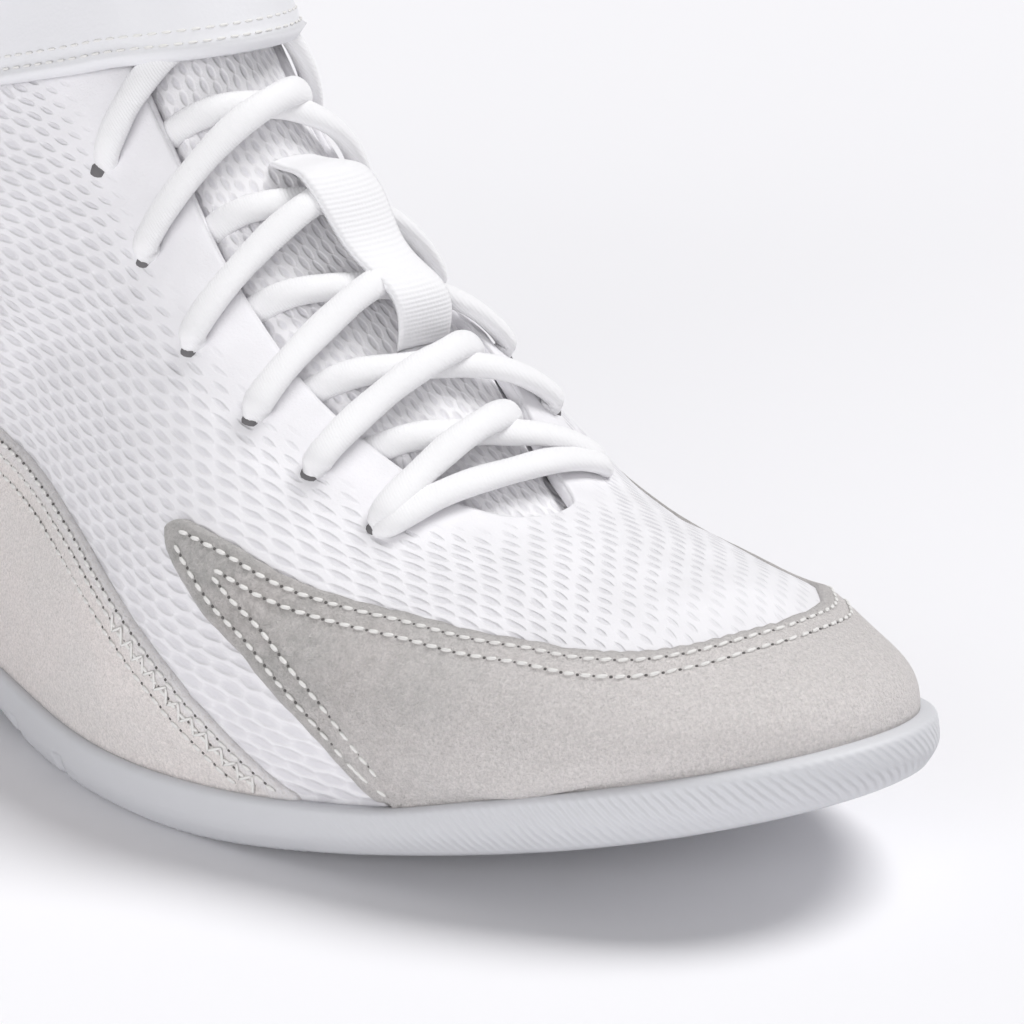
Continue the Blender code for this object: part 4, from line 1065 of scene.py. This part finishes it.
def buildTongue():
    # a band between two places on the last, below the wall and crowned where it shows in the throat
    shape = tongueShape
    rows = np.linspace(shape["firstRow"], lastRow, shape["rows"])
    turn = np.linspace(0.0, 1.0, shape["columns"])
    gridRow, gridPlace = np.meshgrid(rows, shape["low"] + (1.0 - 2.0 * shape["low"]) * turn, indexing="ij")
    side = np.minimum(turn, 1.0 - turn)
    inside = np.minimum(gridPlace, 1.0 - gridPlace) - throatSide(rows)[:, None]
    puff = shape["puff"] * smoothStep(0.002, 0.016, inside) * smoothStep(6.5, 7.1, rows)[:, None]
    under = -(lastSize["wall"] + shape["below"])
    thick = shape["thickness"] * quarterRound(side / 0.03, 0.05) + 0.0 * gridRow
    lean = np.linspace(0.0, 1.0, 12)[1:, None]
    skins = []
    for lift, bow in ((under + puff, -shape["bow"]), (under - thick, shape["bow"])):
        # above the collar it leans back, rounds over and drops towards both sides
        skin = onLast(gridRow, gridPlace, lift)
        top = np.repeat(skin[-1:], len(lean), axis=0)
        top[..., 0] += bow * lean ** 4 - shape["lean"] * lean
        top[..., 2] += lean * (shape["top"] - shape["drop"] * (2.0 * turn - 1.0) ** 4)
        skins.append(np.concatenate([skin, top]))
    across = gridLength(skins[0], 1)
    blank = np.zeros(across.shape)
    along = pathLength(skins[0][:, 20])[:, None] + blank
    values = {"flat": np.stack([along, across - across[:, 20:21], blank], axis=-1) * 1000.0,
              "open": shape["open"] * smoothStep(0.0, 0.06, side) + blank, "dark": blank}
    piece = meshFromGrids("tonguePad", shell(*skins, values), tongueCloth)
    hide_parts("tongue")


buildTongue()
print("tongue built")

# Laces: soft round oval cords that bend out of each eyelet
laceShape = {"width": 0.0048, "height": 0.0032, "points": 84, "sides": 20, "wobble": 0.03, "pinch": 0.22}


def laceMaterial():
    material, tree, shader = newMaterial("whiteLace", (0.865, 0.86, 0.873), 0.72, {
        "Sheen Weight": 0.2, "Subsurface Weight": 0.08, "Subsurface Radius": (0.002, 0.002, 0.002)})
    mm = objectPoint(tree, 1000.0)
    addBumps(tree, shader, (waves(tree, mm, "DIAGONAL", 0.85, 1.5), 0.00005, 0.6),
             (noise(tree, mm, 2.6, 3.0, 0.6), 0.00009, 0.6))
    return material


lace = laceMaterial()


def laceGrid(stations):
    # stations are row, place and lift in millimetres of the lace's middle line
    stations = np.asarray(stations, dtype=float)
    reach = np.arange(len(stations), dtype=float)
    at = np.linspace(0.0, reach[-1], 60)
    curve = splineThrough(reach, stations, at)
    curve[:, 2] = np.interp(at, reach, stations[:, 2]) * 0.35 + curve[:, 2] * 0.65
    points = onLast(curve[:, 0], curve[:, 1], curve[:, 2] * 0.001)
    path = resamplePath(points[::3], laceShape["points"])
    share = np.linspace(0.0, 1.0, len(path))
    up = lastNormal(*readAlong(share, np.linspace(0.0, 1.0, 60), curve[:, :2]).T)
    wobble = 1.0 + laceShape["wobble"] * np.sin(share * 23.0 + stations[0, 0] * 5.0)
    width = laceShape["width"] * wobble * (1.0 - laceShape["pinch"] * bell(share, 0.05))
    return sweepTube(path, up, width, laceShape["height"], laceShape["sides"])


def strandStations(row, place, endRow, endPlace, over):
    # from under the eyelet, up over the throat edge, across, and down under the far edge
    part = np.array([0.0, 0.12, 0.30, 0.50, 0.70, 0.88, 1.0])
    rows = row + (endRow - row) * part
    places = place + (endPlace - place) * part
    lifts = np.array([1.7, 2.6, 2.9, over, over - 0.5, 1.0, -1.6])
    sign = 1.0 if place < 0.5 else -1.0
    start = [[row - 0.10, place - 0.004 * sign, -2.2], [row - 0.03, place - 0.002 * sign, -0.4]]
    middle = [[a, b, c] for a, b, c in zip(rows, places, lifts)]
    return start + middle + [[endRow + 0.04, endPlace + 0.02 * sign, -3.4]]


def buildLaces():
    # near and far strand of each crossing are one piece
    for i in range(5):
        row, place = eyelets[i]
        entry = edgeEntries[i]
        edge = float(throatEdge(entry))
        grids = [laceGrid(strandStations(row, place, entry, 1.0 - edge - 0.010, 4.3)),
                 laceGrid(strandStations(row, 1.0 - place, entry, edge + 0.010, 1.9))]
        if i == 0:
            # the bottom bar between the first two eyelets
            part = np.linspace(0.0, 1.0, 7)
            lifts = [1.4, 2.3, 2.6, 2.4, 2.6, 2.3, 1.4]
            bar = [[row + 0.02, place - 0.004, -2.0]]
            bar += [[row - 0.10 - 0.06 * math.sin(math.pi * p), place + (1.0 - 2.0 * place) * p, lift]
                    for p, lift in zip(part, lifts)]
            bar += [[row + 0.02, 1.0 - place + 0.004, -2.0]]
            grids.append(laceGrid(bar))
        piece = meshFromGrids("laceCrossing%d" % (i + 1), bare(grids), lace)
        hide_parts("lace_crossing_%d" % (i + 1))
    # the two ends go up from the top eyelets to under the strap; steps of row, place and lift
    steps = np.array([[-0.10, -0.004, -2.2], [-0.03, -0.002, -0.4], [0.04, 0.008, 1.7], [0.22, 0.030, 2.5],
                      [0.45, 0.062, 2.4], [0.62, 0.100, 2.2], [0.75, 0.135, 2.0]])
    ends = (("laceTopOuter", "lace_end_outer", False), ("laceTopInner", "lace_end_inner", True))
    for name, node, inner in ends:
        stations = steps + [*eyelets[5], 0.0]
        stations[:, 1] = mirrored(stations[:, 1], inner)
        piece = meshFromGrids(name, bare([laceGrid(stations)]), lace)
        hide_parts(node)


buildLaces()


eyeletShadeShape = {"aside": 0.0100, "back": 0.03, "depth": 0.00045, "length": 0.0034, "width": 0.0030}


def buildEyeletShade():
    # a flat dark lens in each dimple as painted shade for the inside of the eyelet hole, a little below the
    # lace so that its lower rim shows
    shape = eyeletShadeShape
    shadeLenses = []
    for row, place in eyelets:
        for inner in (False, True):
            at = mirrored(place - shape["aside"], inner)
            normal = lastNormal(row, at)
            ahead = squareTo(lastPoint(row - 0.2, at) - lastPoint(row, at), normal)
            tilt = unit(ahead * 0.8 - np.cross(ahead, normal) * (-0.6 if inner else 0.6))
            shadeLenses.append(spindle(onLast(row - shape["back"], at, -shape["depth"]), tilt, normal,
                                  shape["length"], shape["width"]))
    # painted shade: near-black material for the inside of the eyelet holes
    dark, _, _ = newMaterial("eyeletShadeLens", (0.16, 0.155, 0.16), 0.9)
    meshFromGrids("eyeletShadeLenses", bare(shadeLenses), dark)


buildEyeletShade()
print("laces built")

# Woven tape that holds the laces to the tongue
keeperShape = {"steps": 110, "columns": 18, "thickness": 0.0010, "left": 0.480, "right": 0.546}
# rows, and lifts in millimetres, along the tape
keeperPath = np.array([
    [8.62, -0.6], [8.72, 2.4], [8.86, 4.9], [9.05, 5.6], [9.32, 4.6], [9.60, 4.4],
    [9.90, 5.6], [10.15, 6.0], [10.36, 5.0], [10.52, 2.0], [10.66, -0.6],
])


def webbingMaterial():
    material, tree, shader = newMaterial("whiteWebbing", (0.85, 0.845, 0.86), 0.7, {"Sheen Weight": 0.15})
    mm = objectPoint(tree, 1000.0)
    addBumps(tree, shader, (waves(tree, mm, "Z", 0.45), 0.00012, 0.5),
             (noise(tree, mm, 2.2, 2.0), 0.00010, 0.5))
    return material


def buildKeeper():
    # a band along the ridge whose lift follows the laces under it
    shape = keeperShape
    at = np.linspace(0.0, len(keeperPath) - 1.0, shape["steps"])
    rows, lifts = splineThrough(np.arange(len(keeperPath), dtype=float), keeperPath, at).T
    part = np.linspace(0.0, 1.0, shape["columns"])
    place = shape["left"] + (shape["right"] - shape["left"]) * part
    gridRow, gridPlace = np.meshgrid(rows, place, indexing="ij")
    middle = 0.5 * (shape["left"] + shape["right"])
    gridPlace = middle + (gridPlace - middle) * (0.72 + 0.28 * smoothStep(9.0, 10.3, gridRow))
    # both edges bend down a little
    lift = (lifts[:, None] - 0.35 * (2.0 * part - 1.0) ** 4) * 0.001
    skins = [onLast(gridRow, gridPlace, lift + shape["thickness"]), onLast(gridRow, gridPlace, lift)]
    piece = meshFromGrids("laceKeeperTape", shell(*skins), webbingMaterial())
    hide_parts("lace_keeper")


buildKeeper()
print("keeper built")

# Ankle strap: smooth band with a rolled edge and two stitch rows
strapShape = {
    "around": 260, "steps": 46, "thickness": 0.0021, "roll": 0.0016, "stitch": (0.0024, 0.0046),
    "rise": 0.0016, "base": 0.0014, "pitch": 0.0023, "length": 0.0017, "width": 0.0005,
}
# Lower and upper edge in side view, columns: x as a share of the length, z as a share of the collar height
strapLow = np.array([
    [-0.080, 0.520], [0.100, 0.560], [0.250, 0.600], [0.384, 0.642], [0.472, 0.680], [0.580, 0.708],
])
strapHigh = np.array([
    [-0.080, 0.790], [0.100, 0.828], [0.250, 0.866], [0.384, 0.905], [0.472, 0.938], [0.580, 0.968],
])
strapLook = {"white": (0.79, 0.79, 0.815), "roughness": 0.48, "grain": 0.00005, "dent": 0.0004}


def syntheticMaterial(look):
    material, tree, shader = newMaterial("whiteSynthetic", look["white"], look["roughness"], {
        "Coat Weight": 0.06})
    mm = objectPoint(tree, 1000.0)
    grain = addNode(tree, "ShaderNodeTexVoronoi")
    tree.links.new(mm, grain.inputs["Vector"])
    grain.inputs["Scale"].default_value = 1.6
    addBumps(tree, shader, (noise(tree, mm, 0.09, 2.0), look["dent"], 0.5),
             (grain.outputs[0], look["grain"], 0.5))
    return material


def strapRow(place, line, lift):
    # row at which the lifted surface meets a sloping line in side view, by halving
    low, high = np.full(place.shape, 9.0), np.full(place.shape, 21.0)
    for _ in range(34):
        middle = 0.5 * (low + high)
        point = onLast(middle, place, lift)
        edge = np.interp(lengthShare(point[..., 0]), line[:, 0], line[:, 1])
        above = point[..., 2] / lastSize["collarHeight"] > edge
        high = np.where(above, middle, high)
        low = np.where(above, low, middle)
    return 0.5 * (low + high)


def buildStrap():
    # a closed band between two sloping lines, with its thickness falling in a quarter round at both edges
    shape = strapShape
    around = np.linspace(0.0, 1.0, shape["around"])
    around = around + 0.25 * np.sin(2.0 * math.pi * around) / (2.0 * math.pi)
    # the band rises over the laces on the ridge
    base = shape["base"] + shape["rise"] * smoothStep(0.14, 0.085, np.abs(around - 0.5))
    lowRow, highRow = strapRow(around, strapLow, 0.003), strapRow(around, strapHigh, 0.003)
    part = np.linspace(0.0, 1.0, shape["steps"])
    part = part - 0.10 * np.sin(2.0 * math.pi * part) / (2.0 * math.pi)
    rows = lowRow[:, None] + (highRow - lowRow)[:, None] * part[None, :]
    places = around[:, None] + 0.0 * part[None, :]
    reach = gridLength(lastPoint(rows, places), 1)
    gap = np.minimum(reach, reach[:, -1:] - reach)
    lift = base[:, None] + shape["thickness"] * (0.25 + 0.75 * quarterRound(gap / 0.0010))
    # the rolled edge, the groove behind it and a groove under each stitch row: distance, width and height
    ridges = [(0.0010, 0.0008, 0.0005), (shape["roll"] + 0.0006, 0.0004, -0.00035)]
    for distance, width, height in ridges + [(distance, 0.0005, -0.00014) for distance in shape["stitch"]]:
        lift = lift + height * bell(gap - distance, width)
    skins = [onLast(rows, places, lift), onLast(rows, places, base[:, None] + 0.0 * lift)]
    parts = shell(*skins, sides=("left", "right"))
    piece = meshFromGrids("ankleStrapBand", parts, syntheticMaterial(strapLook))
    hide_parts("ankle_strap")
    threads = []
    for distance in shape["stitch"]:
        for wanted in (distance + 0.0 * around, reach[:, -1] - distance):
            at = [np.interp(*values) for values in zip(wanted, reach, rows)]
            path = np.stack([at, around], axis=-1)
            centres = onLast(path[:, 0], path[:, 1], base + shape["thickness"] - 0.00014)
            length = pathLength(centres)
            count = int(length[-1] / shape["pitch"])
            steps = (np.arange(count) + 0.5) * length[-1] / count
            spots = readAlong(steps, length, centres)
            along = unit(np.roll(spots, -1, axis=0) - np.roll(spots, 1, axis=0))
            normal = squareTo(lastNormal(*readAlong(steps, length, path).T), along)
            for spot, ahead, up in zip(spots, along, normal):
                threads.append(spindle(spot + up * 0.00008, ahead, up, shape["length"], shape["width"]))
    meshFromGrids("strapStitches", bare(threads), bpy.data.materials["whiteThread"])


buildStrap()
print("strap built")


def soleLoop(count):
    # feet of the last from the heel round the toe and back, at even steps, with level outward directions
    half = np.concatenate([
        np.stack([np.linspace(16.0, 0.0, 500), np.zeros(500)], axis=-1),
        np.stack([np.zeros(200), np.linspace(0.0, 0.5, 201)[1:]], axis=-1),
    ])
    sides = []
    for inner in (False, True):
        points = lastPoint(half[:, 0], mirrored(half[:, 1], inner))
        sides.append(stretchPath(points, pathLength(points), count))
    sides[1][0], sides[1][-1] = sides[0][0], sides[0][-1]
    loop = np.concatenate([sides[0], sides[1][-2:0:-1]])
    for _ in range(4):
        loop = (np.roll(loop, 1, axis=0) + 2.0 * loop + np.roll(loop, -1, axis=0)) / 4.0
    along = np.roll(loop, -3, axis=0) - np.roll(loop, 3, axis=0)
    outward = unit(np.stack([along[:, 1], -along[:, 0], 0.0 * along[:, 0]], axis=-1))
    if np.sum(outward[:, 1] * (loop[:, 1] - lastSize["shiftY"])) < 0.0:
        outward = -outward
    # the mate of a point is the one across the shoe
    return loop, outward, (-np.arange(len(loop))) % len(loop)


def closeLoop(rings):
    # rings as a grid whose last column is the first again
    grid = np.stack(rings)
    return np.concatenate([grid, grid[:, :1]], axis=1)


def groundHeight(x):
    # flat heel, a low arch as a squared sine, and a toe that rises with the power 1.55
    share = lengthShare(x)
    arch = np.clip((share - 0.25) / 0.25, 0.0, 1.0)
    toe = np.clip((share - 0.64) / 0.37, 0.0, 1.0)
    return lastSize["archRise"] * np.sin(math.pi * arch) ** 2 + lastSize["toeSpring"] * toe ** 1.55


# The sole: swept sidewall, tread with cross grooves, floor inside the rim
soleShape = {
    "count": 460, "levels": 30, "grooveDepth": 0.0013, "grooveWidth": 0.0024, "notchDepth": 0.0024,
    "sidewallBulge": 0.0006, "tooth": 0.0016, "toothDepth": 0.0006, "foot": 0.0006, "notches": (0.470, 0.535),
}
# Cross grooves, columns: x as a share of the length, width and sideways shift as shares of the ball width
grooves = np.array([
    [0.070, 0.34, 0.000], [0.115, 0.42, 0.000], [0.160, 0.46, -0.005], [0.205, 0.44, -0.010],
    [0.520, 0.58, -0.050], [0.565, 0.66, -0.040], [0.610, 0.72, -0.030], [0.655, 0.74, -0.020],
    [0.700, 0.72, 0.000], [0.745, 0.66, 0.020], [0.790, 0.58, 0.040], [0.835, 0.46, 0.060],
])
soleLook = {"white": (0.625, 0.63, 0.655), "roughness": 0.55, "grain": 0.00006, "rib": 0.00022}


def rubberMaterial(look):
    material, tree, shader = newMaterial("whiteRubber", look["white"], look["roughness"], {
        "Subsurface Weight": 0.10, "Subsurface Radius": (0.003, 0.003, 0.003)})
    mm = objectPoint(tree, 1000.0)
    ribs = waves(tree, attribute(tree, "flat", vector=True), "DIAGONAL", 0.40, 1.2, 1.0)
    addBumps(tree, shader, (mathNode(tree, "MULTIPLY", ribs, attribute(tree, "open")), look["rib"], 0.8),
             (noise(tree, mm, 0.25, 2.0), 0.0002, 0.4), (noise(tree, mm, 1.8, 3.0, 0.6), look["grain"], 0.6))
    return material


def buildSole():
    # rings from the middle of the tread outwards, up the sidewall, over the rim and down to the floor inside
    shape = soleShape
    loop, outward, mate = soleLoop(shape["count"])
    count = len(loop)
    edgeZ = loop[:, 2]
    share = lengthShare(loop[:, 0])
    rim = lastSize["rim"] + lastSize["toeRim"] * np.clip((share - 0.88) / 0.09, 0.0, 1.0)
    reach = pathLength(loop)
    outerSide = outward[:, 1] < 0.0
    notch = np.zeros(count)
    for at in shape["notches"]:
        notch = np.maximum(notch, np.exp(-((share - at) * lastSize["length"] / 0.0011) ** 4) * outerSide)
    teethBand = smoothStep(0.62, 0.65, share) * smoothStep(0.76, 0.73, share) * outerSide
    teeth = (0.5 + 0.5 * np.cos(reach / shape["tooth"] * 2.0 * math.pi)) * teethBand
    wrap = smoothStep(0.70, 0.90, share)
    rings, flats, masks = [], [], []

    def level(offset, inward=1.0):
        # the loop moved outwards, then drawn towards the middle line
        points = loop + outward * np.broadcast_to(offset, count)[:, None]
        middle = 0.5 * (points + points[mate])
        return middle + (points - middle) * inward

    def addRing(ring, height, along, up, mask=0.0):
        # along and up are flat coordinates in millimetres, mask tells where the ribs are
        blank = np.zeros(count)
        ring[:, 2] = height
        rings.append(ring)
        flats.append(np.stack([along * 1000.0, up + blank, blank], axis=-1))
        masks.append(mask + blank)

    for inward in [*np.linspace(0.0, 0.94, 34), 0.985]:
        ring = level(shape["foot"], inward)
        shareRing = lengthShare(ring[:, 0])
        cut = np.zeros(count)
        for at, wide, shift in grooves:
            near = np.abs(shareRing - at) * lastSize["length"] < shape["grooveWidth"] * 0.5
            aside = np.abs(ring[:, 1] - lastSize["shiftY"] - shift * lastSize["ballWidth"])
            cut = np.where(near & (aside < wide * lastSize["ballWidth"] * 0.5), shape["grooveDepth"], cut)
        addRing(ring, groundHeight(ring[:, 0]) + cut, ring[:, 0], ring[:, 1] * 1000.0)
    for t in np.linspace(0.0, 1.0, shape["levels"]):
        # sidewall: a round lower corner, a swell that ends in the rim, notches and teeth low down
        corner = 1.0 - (1.0 - min(t / 0.10, 1.0)) ** 2
        swell = 0.42 + 0.58 * math.sin(min(t / 0.55, 1.0) * math.pi / 2.0)
        offset = shape["foot"] + (rim - 0.0008) * swell * corner
        offset = offset + math.sin(math.pi * t) * shape["sidewallBulge"]
        offset = offset - 0.0007 * max(0.0, (t - 0.90) / 0.10) ** 2
        offset = offset - notch * shape["notchDepth"] * (1.0 if t < 0.42 else max(0.0, (0.50 - t) / 0.08))
        offset = offset - teeth * shape["toothDepth"] * max(0.0, 1.0 - t / 0.34)
        ring = level(offset)
        addRing(ring, groundHeight(ring[:, 0]) * (1.0 - t) + (edgeZ - 0.0005) * t, reach, t * 8.0,
                wrap * min(1.0, 4.0 * t) * min(1.0, 5.0 * (1.0 - t)))
    floorZ = 0.5 * (edgeZ + edgeZ[mate]) - lastSize["skirt"] - lastSize["gap"]
    gap = lastSize["gap"]
    last = [(0.0016, 1.0, edgeZ - 0.0005), (gap, 1.0, edgeZ - 0.0006), (gap, 1.0, edgeZ * 0.5 + floorZ * 0.5)]
    last += [(gap, inward, floorZ) for inward in (1.0, 0.8, 0.5, 0.2, 0.0)]
    for offset, inward, height in last:
        addRing(level(offset, inward), height, reach, 9.0)
    parts = [(closeLoop(rings), {"flat": closeLoop(flats), "open": closeLoop(masks)})]
    piece = meshFromGrids("soleRubber", parts, rubberMaterial(soleLook))
    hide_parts("outsole")


buildSole()
print("sole built")

# Insole: dished cloth layer
insoleLook = {
    "white": (0.74, 0.74, 0.75), "roughness": 0.85, "side": 0.0009, "dish": 0.0011, "rounding": 0.0004,
    "rings": (1.0, 0.99, 0.96, 0.90, 0.8, 0.65, 0.45, 0.25, 0.0),
}


def buildInsole():
    # rings from the middle of the underside outwards, and back over a dished top
    look = insoleLook
    loop, outward, mate = soleLoop(220)
    base = 0.5 * (loop[:, 2] + loop[mate, 2]) - lastSize["skirt"]
    wide = np.clip(np.linalg.norm(loop[:, :2] - loop[mate, :2], axis=1) * 0.5 / 0.025, 0.0, 1.0)
    edge = loop - outward * (lastSize["wall"] + look["side"])
    middle = 0.5 * (edge + edge[mate])
    heights = [0.0, 0.0]
    for inward in look["rings"]:
        dish = look["dish"] * (1.0 - inward ** 2) * wide
        heights.append(lastSize["insole"] - dish - look["rounding"] * (inward == 1.0))
    rings = []
    for inward, height in zip((0.0, 1.0) + look["rings"], heights):
        ring = middle + (edge - middle) * inward
        ring[:, 2] = base + height
        rings.append(ring)
    material, tree, shader = newMaterial("whiteFoam", look["white"], look["roughness"])
    addBumps(tree, shader, (noise(tree, objectPoint(tree, 1000.0), 1.4, 2.0), 0.0002, 0.6))
    piece = meshFromGrids("insoleLayer", bare([closeLoop(rings)]), material)
    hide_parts("insole")


buildInsole()
print("insole built")

# Rolled binding on the collar edge, open at the throat
bindingShape = {"width": 0.0046, "height": 0.0052, "points": 220, "sides": 16, "row": 20.9}


def buildBinding():
    # oval tube along the collar, from one throat edge round the heel to the other
    shape = bindingShape
    place = np.linspace(0.0, float(throatEdge(lastRow)), shape["points"])
    lift = -0.5 * lastSize["wall"]
    outer, inner = (onLast(shape["row"], mirrored(place, side), lift) for side in (False, True))
    path = resamplePath(np.concatenate([outer[::-1], inner[1:]])[::4], 2 * shape["points"])
    grid = sweepTube(path, np.array([0.0, 0.0, 1.0]), shape["width"], shape["height"], shape["sides"])
    meshFromGrids("collarBinding", bare([grid]), bpy.data.materials["whiteSynthetic"])


buildBinding()
print("binding built")

# Studio: pale floor that runs into a pale sky, broad light from above
studio = {
    "floorReach": 6.0, "floorColour": (0.885, 0.880, 0.902),
    "skyColour": (0.985, 0.98, 1.0), "skyStrength": 0.32,
    "sunStrength": 2.38, "sunAngle": 30.0, "sunFrom": (0.14, 0.50, 0.85),
    "fillStrength": 2.35, "fillAngle": 60.0, "fillFrom": (0.42, -0.91, 0.05),
}


def buildStudio():
    mesh = bpy.data.meshes.new("floorSheet")
    far = studio["floorReach"]
    mesh.from_pydata([(-far, -far, 0), (far, -far, 0), (far, far, 0), (-far, far, 0)], [], [(0, 1, 2, 3)])
    floor = bpy.data.objects.new("floorSheet", mesh)
    bpy.context.scene.collection.objects.link(floor)
    material, _, _ = newMaterial("studioFloor", studio["floorColour"], 0.9, {"Specular IOR Level": 0.0})
    mesh.materials.append(material)
    world = bpy.data.worlds.new("studioSky")
    world.use_nodes = True
    sky = world.node_tree.nodes["Background"]
    sky.inputs[0].default_value = (*studio["skyColour"], 1.0)
    sky.inputs[1].default_value = studio["skyStrength"]
    bpy.context.scene.world = world
    for name, energy, angle, source in (("topSun", "sunStrength", "sunAngle", "sunFrom"),
                                        ("frontFill", "fillStrength", "fillAngle", "fillFrom")):
        sun = bpy.data.lights.new(name, "SUN")
        sun.energy, sun.angle = studio[energy], math.radians(studio[angle])
        lamp = bpy.data.objects.new(name, sun)
        lamp.rotation_euler = Vector(studio[source]).to_track_quat("Z", "Y").to_euler()
        bpy.context.scene.collection.objects.link(lamp)
    bpy.context.scene.view_settings.view_transform = "Standard"


buildStudio()

cameraView = {"target": (0.00957, 0.05110, 0.02333), "back": (0.7068, -0.6364, 0.3090), "distance": 0.850,
              "lens": 178.1}


def buildCamera():
    # the camera looks back along the line from its target
    data = bpy.data.cameras.new("photoCamera")
    data.sensor_width = 36.0
    data.lens = cameraView["lens"]
    data.clip_start, data.clip_end = 0.05, 50.0
    camera = bpy.data.objects.new("photoCamera", data)
    back = Vector(cameraView["back"]).normalized()
    camera.location = Vector(cameraView["target"]) + back * cameraView["distance"]
    camera.rotation_euler = (-back).to_track_quat("-Z", "Y").to_euler()
    bpy.context.scene.collection.objects.link(camera)
    bpy.context.scene.camera = camera


buildCamera()
print("studio and camera set")
